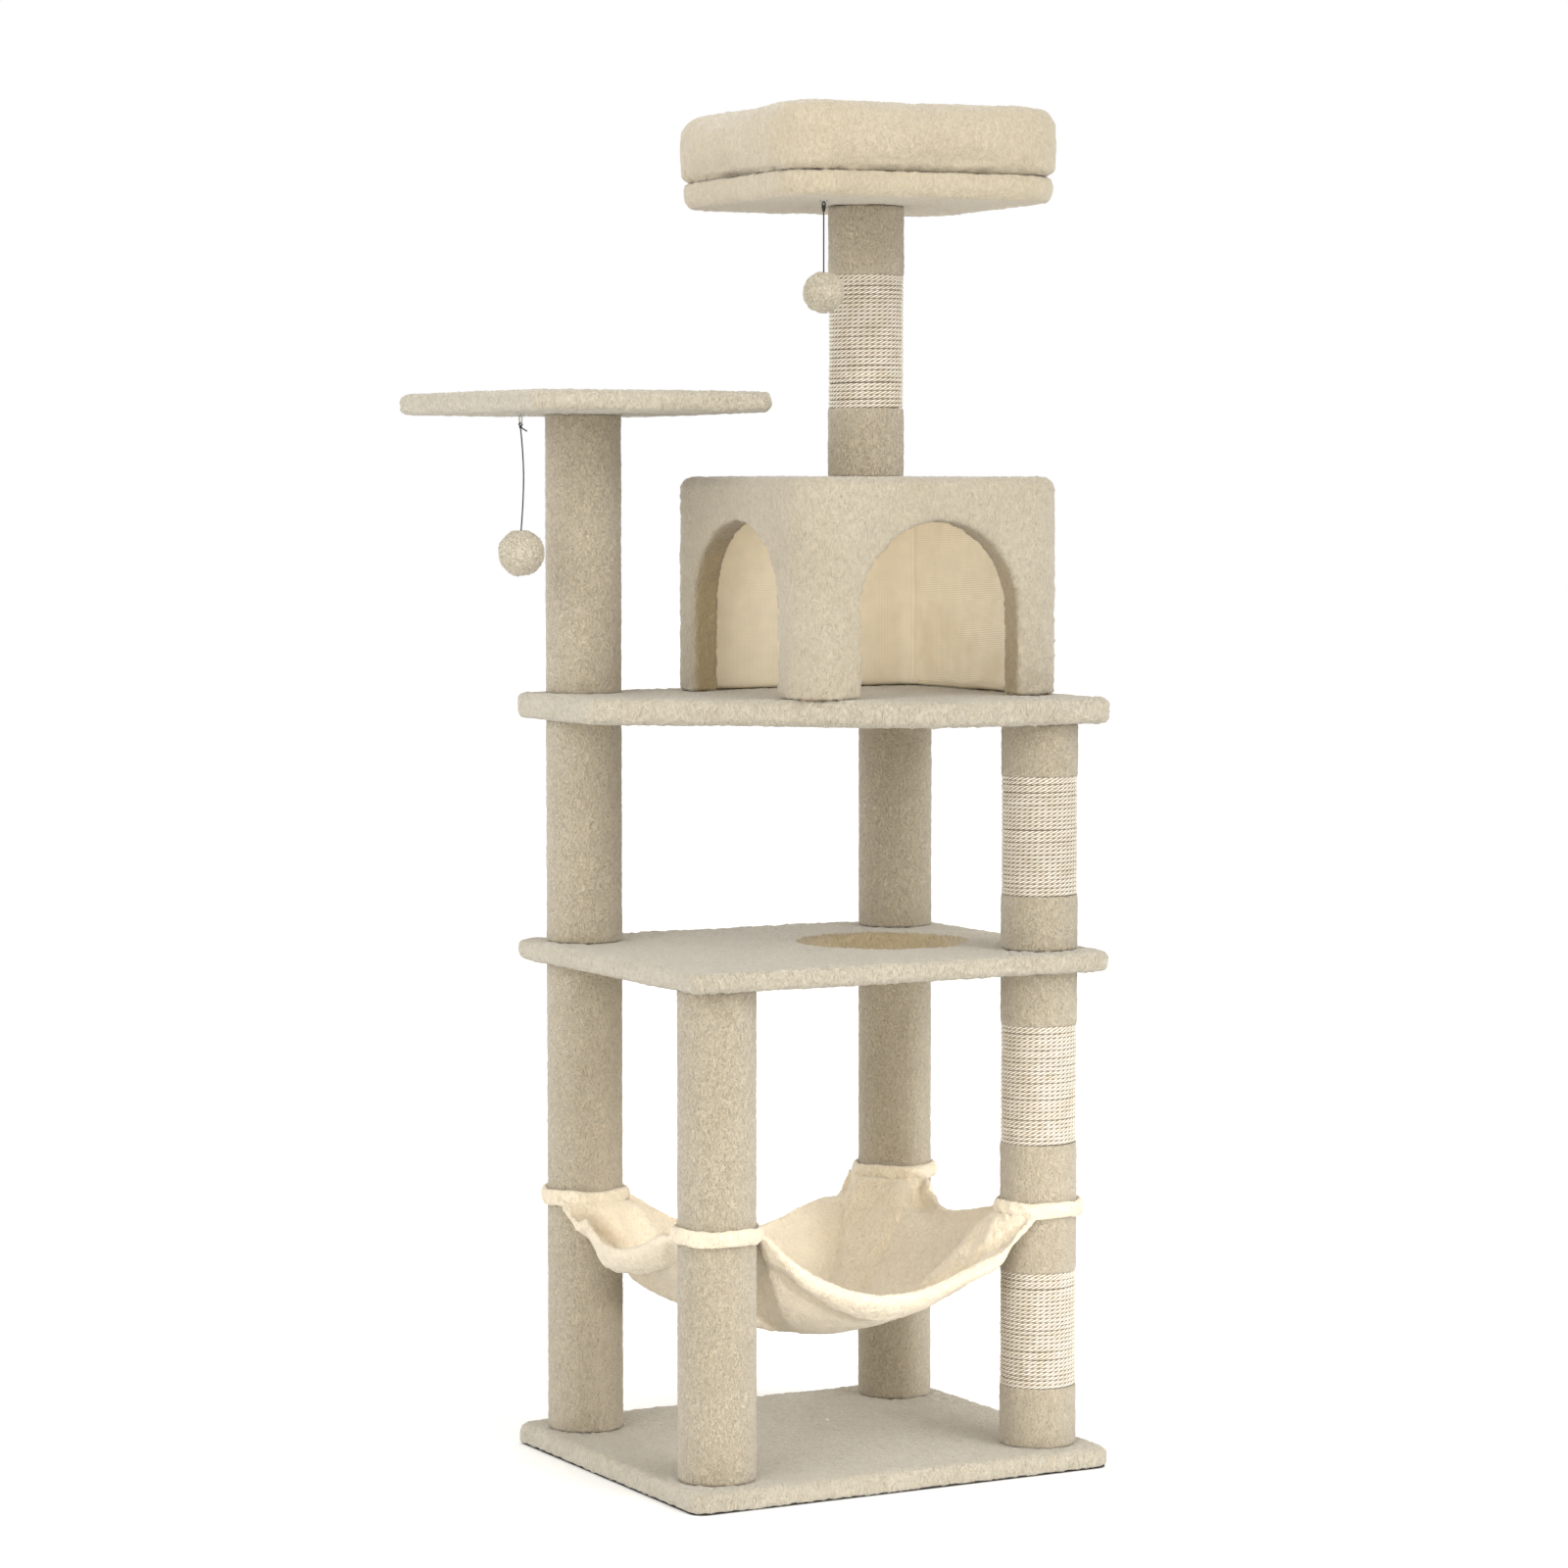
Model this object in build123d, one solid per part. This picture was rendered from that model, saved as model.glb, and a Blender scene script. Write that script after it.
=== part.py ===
from build123d import *
import math
import os

# Cat tree: plush-covered boards on columns of cardboard tube, with a house, a hammock, a padded
# bed on top and two hanging toys. Millimetres, +Z up. The origin is the centre of the base's
# underside, on the floor. The house's large arch faces -Y, and the hammock hangs along X.

# Base and columns
BASE_X = 540.0          # base and both shelves, along X
BASE_Y = 460.0          # base and both shelves, along Y
PLATE_CORNER = 18.0     # corner radius of every flat plate
COLUMN_X = 209.0        # column axes, either side of the centre
COLUMN_Y = 165.0
TUBE_R = 38.0           # cardboard tube, outside
TUBE_WALL = 4.0
SLEEVE_R = 44.0         # outside of the plush on a column
ROPE_R = 2.4            # sisal rope
ROPE_CREST = 43.0       # outermost reach of the sisal turns
ROPE_VALLEY = 0.6       # depth of the valleys between turns, in rope radii

# Levels, bottom and top of each plate
BASE_TOP = 24.0
RING_Z = 299.0          # hammock rings, where the lower tubes meet
MID_LOW = 572.0
MID_TOP = 596.0
UPPER_LOW = 855.0
UPPER_TOP = 885.0
PERCH_LOW = 1208.0
PERCH_TOP = 1232.0
ROOF_TOP = 1135.0
BED_LOW = 1447.0
BED_SEAM = 1476.0
BED_TOP = 1557.0

# Boards and their plush
UNDERLAY = 1.2          # thickness of the sheet under the base
UNDERLAY_INSET = 2.0
BASE_BOARD = 18.0
THIN_BOARD = 15.0       # the middle shelf's and the perch's
SHELF_BOARD = 18.0      # the upper shelf's
EDGE_PLUSH = 5.0        # plush thickness round a board's edge
PLATE_EDGE = 9.0        # rounding of a covered plate's edges
CUT_LEFT = 34.0         # upper shelf's cut corner: where the cut meets the left edge, along Y
CUT_FRONT = 34.0        # and where it meets the front edge, along X
CLIMB_HOLE = (97.0, 0.0)
CLIMB_R = 98.0
HOLE_PLUSH = 5.0        # plush lining the hole
PERCH_X = 306.0
PERCH_Y = 380.0

# House on the upper shelf
HOUSE = (84.0, 18.0)    # centre, which is also the top column's axis
HOUSE_SIZE = 346.0
HOUSE_CORNER = 52.0
HOUSE_PLUSH = 6.0
HOUSE_BOARD = 15.0
HOUSE_LINER = 13.0
ROOF_EDGE = 14.0        # rounding of the roof's edges
ROOF_PLUSH = 5.0
CEILING_LINER = 4.0
ARCH_R = 103.0
ARCH_JAMB = 97.0        # height of the straight sides below the half circle
ARCH_PLUSH = 4.0        # plush turned through the opening's edge
OVERLAP = 1.0           # how far a joined part runs into the one it meets
CUT_PAST = 5.0          # how far an opening's cutting shape passes the faces that it cuts

# Padded bed
BED_TURN = -4.0         # the bed is turned on its single stud, in degrees about +Z
BED_SIZE = 356.0
BED_CORNER = 60.0
BOLSTER_WIDTH = 76.0
HOLLOW_CORNER = 36.0
BOLSTER_ROUND = 26.0
BED_UNDER_ROUND = 14.0
BED_SEAM_ROUND = 5.0
BED_BOARD = 15.0
BED_BOARD_INSET = 8.0
BED_UNDER_PLUSH = 6.0   # padding below the bed's board
PAD_THICK = 14.0
PAD_ROUND = 6.0
PAD_GAP = 1.0           # between the pad and the bolster

# Hammock
RING_INNER = 44.3
RING_OUTER = 53.0
RING_HEIGHT = 24.0
SLING_THICK = 6.0
SLING_GAP = 1.5         # between the sling's corners and the rings
SLING_LOW = 150.0       # lowest point of the belly's upper face
SLING_BOW = 26.0        # how far each edge curves in between two columns
EDGE_DIPS = {"front": 96.0, "right": 26.0, "back": 60.0, "left": 46.0}     # sag of each edge
SLING_RINGS = 7         # rows of facets from the middle to the edge
EDGE_STEPS = 9
CORNER_STEPS = 4

# Fasteners
STUD_R = 4.0
THREAD_R = 4.05
STUD_HOLE = 4.5
PLUG_R = 33.9
PLUG_THICK = 20.0
SHORT_STUD = 40.0
LONG_STUD = 60.0
BOLT_LENGTH = 35.0
BOLT_HEAD_R = 8.0
BOLT_HEAD = 3.0
HEAD_POCKET_R = 9.5
HEAD_SUNK = 1.0         # the base's bolt heads sit this far into the board
STUD_DROP = 1.0         # a stud in a nut has its middle this far below the plate's underside
HEX_KEY = 2.9
SCREW_R = 2.0
SCREW_LENGTH = 45.0
SCREW_HEAD_R = 4.2
SCREW_HEAD = 2.5
NUT_R = 6.0
NUT_FLANGE_R = 10.0
NUT_LENGTH = 14.0
NUT_FLANGE = 1.5

# Hanging toys: where each hangs from, and its sizes
SIDE_TOY = (-323.0, 93.0)
SIDE_BALL_R = 26.5
SIDE_BALL_Z = 1049.0
TOP_TOY = (-24.0, -75.0)
TOP_BALL_R = 23.5
TOP_BALL_Z = 1343.0
STRING_R = 0.8
STRING_SOCKET = 2.0     # how far a string runs into its ball
SIDE_LOOP = 13.0        # height of each toy's cord loop
TOP_LOOP = 8.0
LOOP_HALF_WIDTH = 3.4
LOOP_WIRE_R = 0.8
LOOP_ABOVE_CROWN = 3.0
STAPLE_WIRE = 1.2
STAPLE_HALF_WIDTH = 4.0
STAPLE_CROWN = 4.5      # crown below the plate's underside
STAPLE_BITE = 9.0       # legs driven into the plate
KNOT_RING_R = 1.9
KNOT_R = 1.8
KNOT_DROP = 3.4
KNOT_FLAT = 0.2         # flat under the knot, where the string starts
KNOT_TAIL = 9.0
TAIL_SLANT = 118.0      # from straight up, in degrees
STRING_FIT = 0.05       # clearance round a string in its ball
BEND_SHARE = 0.45       # share of the shorter straight run that a bend's arc takes up
SIDE_BENDS = [(-320.2, 91.4, 1158.0), (-320.4, 91.6, 1108.0)]     # where the side toy's string bows
LEVEL_TOLERANCE = 0.01

CORNERS = {
    "left": (-COLUMN_X, COLUMN_Y),
    "front": (-COLUMN_X, -COLUMN_Y),
    "back": (COLUMN_X, COLUMN_Y),
    "right": (COLUMN_X, -COLUMN_Y),
    "top": HOUSE,
}
LOWER = [(BASE_TOP, RING_Z), (RING_Z, MID_LOW)]
MIDDLE = [(MID_TOP, UPPER_LOW)]
SEGMENTS = {
    "left": LOWER + MIDDLE + [(UPPER_TOP, PERCH_LOW)],
    "front": LOWER,
    "back": LOWER + MIDDLE,
    "right": LOWER + MIDDLE,
    "top": [(ROOF_TOP, BED_LOW)],
}
SISAL = {
    "right": [(92.0, 226.0), (373.0, 510.0), (658.0, 795.0)],
    "top": [(1214.0, 1368.0)],
}


def write(node, solids):
    """Writes one node, from one solid or a list of them."""
    shape = Compound(children=list(solids)) if isinstance(solids, list) else solids
    export_step(shape, os.path.join("parts", node + ".step"))


def disc(x, y, radius, low, high):
    """Upright cylinder from one level to another."""
    return Pos(x, y, low) * extrude(Circle(radius), amount=high - low)


def ring(x, y, inner, outer, low, high):
    """Upright tube from one level to another."""
    return Pos(x, y, low) * extrude(Circle(outer) - Circle(inner), amount=high - low)


def rounded_box(x, y, width, depth, corner, low, high):
    """Block with rounded upright corners, centred at x, y."""
    return Pos(x, y, low) * extrude(RectangleRounded(width, depth, corner), amount=high - low)


def slab(outline, low, high):
    """Any flat outline raised into a plate."""
    return Pos(0, 0, low) * extrude(outline, amount=high - low)


def soften(solid, low, high, radius):
    """Rounds the edges round a plate's faces at the given levels."""
    levels = [z for z in (low, high) if z is not None]
    flat = [e for e in solid.edges() if e.bounding_box().size.Z < LEVEL_TOLERANCE]
    edges = [e for e in flat if any(abs(e.center().Z - z) < LEVEL_TOLERANCE for z in levels)]
    return fillet(edges, radius)


def upper_outline(inset):
    """The base's rectangle with its front left corner cut off."""
    x = BASE_X / 2
    y = BASE_Y / 2
    points = [(-x, CUT_LEFT), (CUT_FRONT, -y), (x, -y), (x, y), (-x, y)]
    face = Polygon(*points, align=None)
    face = fillet(face.vertices(), PLATE_CORNER)
    return offset(face, amount=-inset) if inset else face


def holes(names, radius, low, high):
    """Cylinders on the axes of the named columns."""
    return [disc(*CORNERS[name], radius, low, high) for name in names]


def bolt(x, y, seat, up):
    """Furniture bolt, its flat head against the seat and its shank along +Z or -Z."""
    way = 1 if up else -1
    shank = Pos(x, y, seat + way * BOLT_LENGTH / 2) * Cylinder(STUD_R, BOLT_LENGTH)
    head = Pos(x, y, seat - way * BOLT_HEAD / 2) * Cylinder(BOLT_HEAD_R, BOLT_HEAD)
    key = extrude(RegularPolygon(HEX_KEY, 6), amount=BOLT_HEAD / 2)
    key_low = seat - BOLT_HEAD if up else seat + BOLT_HEAD / 2
    return head + shank - Pos(x, y, key_low) * key


def stud(x, y, middle, length):
    return disc(x, y, STUD_R, middle - length / 2, middle + length / 2)


# ---------------------------------------------------------------- base and shelves

def make_base():
    """The base: plush over the board's top and sides, and a thin sheet under both."""
    board_high = UNDERLAY + BASE_BOARD
    feet = ("left", "front", "back", "right")
    core = RectangleRounded(BASE_X - 2 * EDGE_PLUSH, BASE_Y - 2 * EDGE_PLUSH, PLATE_CORNER - EDGE_PLUSH)
    cover = slab(RectangleRounded(BASE_X, BASE_Y, PLATE_CORNER), UNDERLAY, BASE_TOP)
    cover = soften(cover, None, BASE_TOP, PLATE_EDGE) - slab(core, UNDERLAY, board_high)
    board = slab(core, UNDERLAY, board_high)
    sheet = RectangleRounded(BASE_X - 2 * UNDERLAY_INSET, BASE_Y - 2 * UNDERLAY_INSET,
                             PLATE_CORNER - UNDERLAY_INSET)
    underlay = slab(sheet, 0, UNDERLAY)
    seat = UNDERLAY + BOLT_HEAD + HEAD_SUNK
    for hole in holes(feet, STUD_HOLE, 0, BASE_TOP):
        cover -= hole
        board -= hole
    for pocket in holes(feet, HEAD_POCKET_R, 0, seat):
        board -= pocket
        underlay -= pocket
    write("base_cover", cover)
    write("base_board", board)
    write("base_underlay", underlay)
    return [bolt(*CORNERS[name], seat, True) for name in feet]


def covered_plate(outline, core, low, high, board):
    """A board sewn into plush: the plush cover and the board inside it."""
    plush = (high - low - board) / 2
    wood = slab(core, low + plush, high - plush)
    cover = soften(slab(outline, low, high), low, high, PLATE_EDGE) - wood
    return cover, wood


def drill(cover, wood, through, heads, low, high, seat):
    """Holes for the studs and bolts on the named columns, and pockets for bolt heads on top."""
    for hole in holes(through, STUD_HOLE, low, high):
        cover -= hole
        wood -= hole
    for pocket in holes(heads, HEAD_POCKET_R, seat, high):
        cover -= pocket
    return cover, wood, [bolt(*CORNERS[name], seat, False) for name in heads]


def make_mid_shelf():
    """The middle shelf, with its hole to climb through lined in plush."""
    outline = RectangleRounded(BASE_X, BASE_Y, PLATE_CORNER)
    core = RectangleRounded(BASE_X - 2 * EDGE_PLUSH, BASE_Y - 2 * EDGE_PLUSH, PLATE_CORNER - EDGE_PLUSH)
    cover, wood = covered_plate(outline, core, MID_LOW, MID_TOP, THIN_BOARD)
    wide = disc(*CLIMB_HOLE, CLIMB_R + HOLE_PLUSH, MID_LOW, MID_TOP)
    cover += wide
    cover -= disc(*CLIMB_HOLE, CLIMB_R, MID_LOW, MID_TOP)
    wood -= wide
    seat = (MID_LOW + MID_TOP + THIN_BOARD) / 2
    four = ("left", "front", "back", "right")
    cover, wood, bolts = drill(cover, wood, four, ("front",), MID_LOW, MID_TOP, seat)
    write("mid_shelf_cover", cover)
    write("mid_shelf_board", wood)
    return bolts


def make_upper_shelf():
    """The upper shelf, with pilot holes and head pockets for the screws that hold the house."""
    cover, wood = covered_plate(upper_outline(0), upper_outline(EDGE_PLUSH), UPPER_LOW, UPPER_TOP, SHELF_BOARD)
    seat = (UPPER_LOW + UPPER_TOP + SHELF_BOARD) / 2
    three = ("left", "back", "right")
    cover, wood, bolts = drill(cover, wood, three, ("back", "right"), UPPER_LOW, UPPER_TOP, seat)
    under = (UPPER_LOW + UPPER_TOP - SHELF_BOARD) / 2
    for x, y in house_screw_places():
        pilot = disc(x, y, SCREW_R, UPPER_LOW, UPPER_TOP)
        cover -= pilot + disc(x, y, SCREW_HEAD_R, UPPER_LOW, under)
        wood -= pilot
    write("upper_shelf_cover", cover)
    write("upper_shelf_board", wood)
    return bolts


def make_perch():
    """The side perch, held from below by a stud in a flanged nut."""
    x, y = CORNERS["left"]
    outline = Pos(x, y) * RectangleRounded(PERCH_X, PERCH_Y, PLATE_CORNER)
    core = Pos(x, y) * RectangleRounded(PERCH_X - 2 * EDGE_PLUSH, PERCH_Y - 2 * EDGE_PLUSH,
                                        PLATE_CORNER - EDGE_PLUSH)
    cover, wood = covered_plate(outline, core, PERCH_LOW, PERCH_TOP, THIN_BOARD)
    board_low = (PERCH_LOW + PERCH_TOP - THIN_BOARD) / 2
    board_top = board_low + THIN_BOARD
    cover -= disc(x, y, STUD_HOLE, PERCH_LOW, board_low)
    wood -= nut_hole(x, y, board_low, board_top)
    write("side_perch_cover", cover)
    write("side_perch_board", wood)
    return flanged_nut(x, y, board_top)


def flanged_nut(x, y, top):
    """Threaded nut driven down into a board, its flange flush with the board's top."""
    barrel = disc(x, y, NUT_R, top - NUT_LENGTH, top)
    flange = disc(x, y, NUT_FLANGE_R, top - NUT_FLANGE, top)
    return barrel + flange - disc(x, y, THREAD_R, top - NUT_LENGTH, top)


def nut_hole(x, y, low, top):
    return disc(x, y, NUT_R, low, top) + disc(x, y, NUT_FLANGE_R, top - NUT_FLANGE, top)


# ---------------------------------------------------------------- columns

def sisal_wrap(x, y, low, high):
    """Rope wound tightly round the tube: a sleeve with one rounded ridge per turn."""
    turns = round((high - low) / (2 * ROPE_R))
    pitch = (high - low) / turns
    valley = ROPE_CREST - ROPE_R * ROPE_VALLEY
    outline = Polyline((valley, high), (TUBE_R, high), (TUBE_R, low), (valley, low))
    for i in range(turns):
        z = low + i * pitch
        outline += ThreePointArc((valley, z), (ROPE_CREST, z + pitch / 2), (valley, z + pitch))
    return Pos(x, y) * revolve(Plane.XZ * make_face(outline), Axis.Z)


def make_columns():
    """Tubes, plush sleeves and sisal, one tube for each stretch between two plates or rings."""
    plugs = []
    for name, spans in SEGMENTS.items():
        x, y = CORNERS[name]
        write(name + "_column_tubes", [ring(x, y, TUBE_R - TUBE_WALL, TUBE_R, *span) for span in spans])
        for i, (low, high) in enumerate(spans):
            for plug_low in (low, high - PLUG_THICK):
                plugs.append(ring(x, y, THREAD_R, PLUG_R, plug_low, plug_low + PLUG_THICK))
            label = "top" if name == "top" else f"{name}_{i + 1}"
            if name in SISAL:
                rope_low, rope_high = SISAL[name][i]
                collars = [(low, rope_low), (rope_high, high)]
                write(label + "_collars", [ring(x, y, TUBE_R, SLEEVE_R, *c) for c in collars])
                write(label + "_sisal", sisal_wrap(x, y, rope_low, rope_high))
            else:
                write(label + "_sleeve", ring(x, y, TUBE_R, SLEEVE_R, low, high))
    write("tube_end_plugs", plugs)


def make_studs():
    """Double-ended studs: short between two tubes or into a nut, long through a shelf."""
    four = ("left", "front", "back", "right")
    studs = [stud(*CORNERS[name], RING_Z, SHORT_STUD) for name in four]
    studs += [stud(*CORNERS[name], (MID_LOW + MID_TOP) / 2, LONG_STUD) for name in ("left", "back", "right")]
    studs.append(stud(*CORNERS["left"], (UPPER_LOW + UPPER_TOP) / 2, LONG_STUD))
    studs.append(stud(*CORNERS["left"], PERCH_LOW - STUD_DROP, SHORT_STUD))
    studs.append(stud(*CORNERS["top"], BED_LOW - STUD_DROP, SHORT_STUD))
    write("joining_studs", studs)


# ---------------------------------------------------------------- house

def house_block(inset, low, high):
    size = HOUSE_SIZE - 2 * inset
    return rounded_box(*HOUSE, size, size, HOUSE_CORNER - inset, low, high)


def arch(side, grow, near, far):
    """Solid of the round-topped opening through the front or left wall.

    grow widens it; near and far are depths into the wall from the house's outer face."""
    radius = ARCH_R + grow
    depth = far - near
    outward = HOUSE_SIZE / 2 - (near + far) / 2
    foot = Pos(0, 0, ARCH_JAMB / 2) * Box(2 * radius, depth, ARCH_JAMB)
    head = Pos(0, 0, ARCH_JAMB) * Rot(90, 0, 0) * Cylinder(radius, depth)
    above_floor = Pos(0, 0, HOUSE_SIZE / 2) * Box(HOUSE_SIZE, depth, HOUSE_SIZE)
    shape = Pos(0, -outward, 0) * ((foot + head) & above_floor)
    turn = 0 if side == "front" else -90
    return Pos(*HOUSE, UPPER_TOP) * Rot(0, 0, turn) * shape


def house_screw_places():
    """The four screws' axes, in the middle of the corner pieces' walls."""
    middle_r = HOUSE_CORNER - HOUSE_PLUSH - HOUSE_BOARD / 2
    reach = HOUSE_SIZE / 2 - HOUSE_CORNER + middle_r * math.sqrt(0.5)
    return [(HOUSE[0] + way_x * reach, HOUSE[1] + way_y * reach) for way_x in (-1, 1) for way_y in (-1, 1)]


def make_house():
    """Plush over board walls and roof, rounded corner pieces, and a padded lining."""
    plush = HOUSE_PLUSH
    wall_in = HOUSE_PLUSH + HOUSE_BOARD
    liner_in = wall_in + HOUSE_LINER
    roof_high = ROOF_TOP - ROOF_PLUSH
    roof_low = roof_high - HOUSE_BOARD
    liner_high = roof_low - CEILING_LINER
    sides = ("front", "left")

    # Plush over the outside, turned in through both arches
    cover = soften(house_block(0, UPPER_TOP, ROOF_TOP), None, ROOF_TOP, ROOF_EDGE)
    cover -= house_block(plush, UPPER_TOP, roof_high)
    for side in sides:
        cover += arch(side, ARCH_PLUSH, plush - OVERLAP, liner_in)
        cover -= arch(side, 0, -CUT_PAST, liner_in + CUT_PAST)
    cover -= disc(*HOUSE, STUD_HOLE, roof_high, ROOF_TOP)
    write("house_cover", cover)

    # Four walls between rounded corner pieces, and the roof on top of them
    shell = house_block(plush, UPPER_TOP, roof_low) - house_block(wall_in, UPPER_TOP, roof_low)
    flat = HOUSE_SIZE - 2 * HOUSE_CORNER
    for name, way_x, way_y in (("front", 0, -1), ("left", -1, 0), ("back", 0, 1), ("right", 1, 0)):
        reach = HOUSE_SIZE / 2 - (plush + wall_in) / 2
        width = flat if way_y else HOUSE_BOARD
        depth = flat if way_x else HOUSE_BOARD
        middle = (UPPER_TOP + roof_low) / 2
        wall = Pos(HOUSE[0] + way_x * reach, HOUSE[1] + way_y * reach, middle) * Box(
            width, depth, roof_low - UPPER_TOP)
        shell -= wall
        if name in sides:
            wall -= arch(name, ARCH_PLUSH, 0, liner_in)
        write(f"house_{name}_wall", wall)
    under = (UPPER_LOW + UPPER_TOP - SHELF_BOARD) / 2
    screws = []
    for x, y in house_screw_places():
        shank = disc(x, y, SCREW_R, under, under + SCREW_LENGTH)
        shell -= shank
        screws.append(shank + disc(x, y, SCREW_HEAD_R, under - SCREW_HEAD, under))
    write("house_corner_pieces", shell.solids())
    write("house_screws", screws)

    roof = house_block(plush, roof_low, roof_high) - disc(*HOUSE, STUD_HOLE, roof_low, roof_high)
    write("house_roof_board", roof)

    # Padded lining: walls and a thin ceiling
    liner = house_block(wall_in, UPPER_TOP, roof_low) - house_block(liner_in, UPPER_TOP, liner_high)
    for side in sides:
        liner -= arch(side, ARCH_PLUSH, wall_in - OVERLAP, liner_in + OVERLAP)
    liner -= disc(*HOUSE, HEAD_POCKET_R, liner_high, roof_low)
    write("house_liner", liner)
    return bolt(*HOUSE, roof_low, True)


# ---------------------------------------------------------------- padded bed

def turned(solid):
    """A piece of the bed, turned with it about the top column's axis."""
    x, y = HOUSE
    return Pos(x, y) * Rot(0, 0, BED_TURN) * Pos(-x, -y) * solid


def make_bed():
    x, y = HOUSE
    board_low = BED_LOW + BED_UNDER_PLUSH
    board_high = board_low + BED_BOARD
    board_size = BED_SIZE - 2 * BED_BOARD_INSET
    hollow = BED_SIZE - 2 * BOLSTER_WIDTH
    pad_size = hollow - 2 * PAD_GAP
    wood = rounded_box(x, y, board_size, board_size, BED_CORNER - BED_BOARD_INSET, board_low, board_high)
    base = rounded_box(x, y, BED_SIZE, BED_SIZE, BED_CORNER, BED_LOW, BED_SEAM)
    base = soften(base, BED_LOW, None, BED_UNDER_ROUND)
    base = soften(base, None, BED_SEAM, BED_SEAM_ROUND)
    base -= wood
    base -= disc(x, y, STUD_HOLE, BED_LOW, board_low)
    wood -= nut_hole(x, y, board_low, board_high)
    bolster = rounded_box(x, y, BED_SIZE, BED_SIZE, BED_CORNER, BED_SEAM, BED_TOP)
    bolster -= rounded_box(x, y, hollow, hollow, HOLLOW_CORNER, BED_SEAM, BED_TOP)
    bolster = soften(bolster, None, BED_TOP, BOLSTER_ROUND)
    pad_top = BED_SEAM + PAD_THICK
    pad = rounded_box(x, y, pad_size, pad_size, HOLLOW_CORNER - PAD_GAP, BED_SEAM, pad_top)
    pad = soften(pad, None, pad_top, PAD_ROUND)
    write("top_bed_base", turned(base))
    write("top_bed_board", turned(wood))
    write("top_bed_bolster", turned(bolster))
    write("top_bed_pad", turned(pad))
    return flanged_nut(x, y, board_high)


# ---------------------------------------------------------------- hammock

def sling_edge():
    """Points round the sling: four sagging edges joined by short arcs at the rings.

    Each edge is named after the column that it starts from, going round anticlockwise."""
    reach = RING_OUTER + SLING_GAP
    points = []
    for quarter, (name, dip) in enumerate(EDGE_DIPS.items()):
        x, y = CORNERS[name]
        span = 2 * (COLUMN_Y if quarter % 2 else COLUMN_X) - 2 * reach
        for i in range(CORNER_STEPS):
            angle = math.radians(90 * (quarter + 1 - i / CORNER_STEPS))
            points.append((x + reach * math.cos(angle), y + reach * math.sin(angle), RING_Z))
        along_x, along_y = (1, 0, -1, 0)[quarter], (0, 1, 0, -1)[quarter]
        for i in range(EDGE_STEPS):
            t = i / EDGE_STEPS
            sag = 4 * t * (1 - t)
            forward = reach + span * t
            inward = SLING_BOW * sag
            points.append((x + along_x * forward - along_y * inward,
                           y + along_y * forward + along_x * inward, RING_Z - dip * sag))
    return points


def make_hammock():
    """The sling as a thin faceted bowl, and the four rings sewn to its corners."""
    rim = sling_edge()
    rows = []
    for ring_index in range(1, SLING_RINGS + 1):
        part = ring_index / SLING_RINGS
        rows.append([(x * part, y * part, SLING_LOW + (z - SLING_LOW) * part ** 2) for x, y, z in rim])
    count = len(rim)
    faces = []
    for drop in (0.0, SLING_THICK):
        centre = Vector(0, 0, SLING_LOW - drop)
        lifted = [[Vector(x, y, z - drop) for x, y, z in row] for row in rows]
        for i in range(count):
            j = (i + 1) % count
            faces.append(triangle(centre, lifted[0][i], lifted[0][j]))
            for inner, outer in zip(lifted, lifted[1:]):
                faces.append(triangle(inner[i], outer[i], outer[j]))
                faces.append(triangle(inner[i], outer[j], inner[j]))
    outer = rows[-1]
    for i in range(count):
        j = (i + 1) % count
        top = [Vector(*outer[i]), Vector(*outer[j])]
        bottom = [p - Vector(0, 0, SLING_THICK) for p in top]
        faces.append(triangle(top[0], top[1], bottom[1]))
        faces.append(triangle(top[0], bottom[1], bottom[0]))
    write("hammock_sling", Solid(Shell(faces)))
    low = RING_Z - RING_HEIGHT / 2
    write("hammock_rings", [ring(*CORNERS[name], RING_INNER, RING_OUTER, low, low + RING_HEIGHT)
                            for name in ("left", "front", "back", "right")])


def triangle(a, b, c):
    return Face(Wire.make_polygon([a, b, c], close=True))


# ---------------------------------------------------------------- hanging toys

def string_tube(points):
    """Tube along straight runs joined by tangent arcs."""
    route = [Vector(*p) for p in points]
    radii = []
    for a, b, c in zip(route, route[1:], route[2:]):
        turn = math.radians((b - a).get_angle(c - b))
        radii.append(BEND_SHARE * min((b - a).length, (c - b).length) / math.tan(turn / 2))
    path = FilletPolyline(*route, radius=radii) if radii else Line(route[0], route[-1])
    start = Plane(origin=route[0], z_dir=route[1] - route[0])
    tube = sweep(start * Circle(STRING_R), path=path)
    straight = math.pi * STRING_R ** 2 * path.length
    print("string: radii", [round(r) for r in radii], "length", round(path.length, 1),
          "volume over section times length", round(tube.volume / straight, 4))
    return tube


def staple(x, y, under):
    """Wire staple driven up into a plate; the toy's loop hangs on its crown."""
    wire = STAPLE_WIRE
    crown_z = under - STAPLE_CROWN
    shape = Pos(x, y, crown_z) * Box(2 * STAPLE_HALF_WIDTH + wire, wire, wire)
    leg = STAPLE_CROWN + STAPLE_BITE
    for way in (-1, 1):
        shape += Pos(x + way * STAPLE_HALF_WIDTH, y, crown_z + leg / 2) * Box(wire, wire, leg)
    return shape


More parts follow.
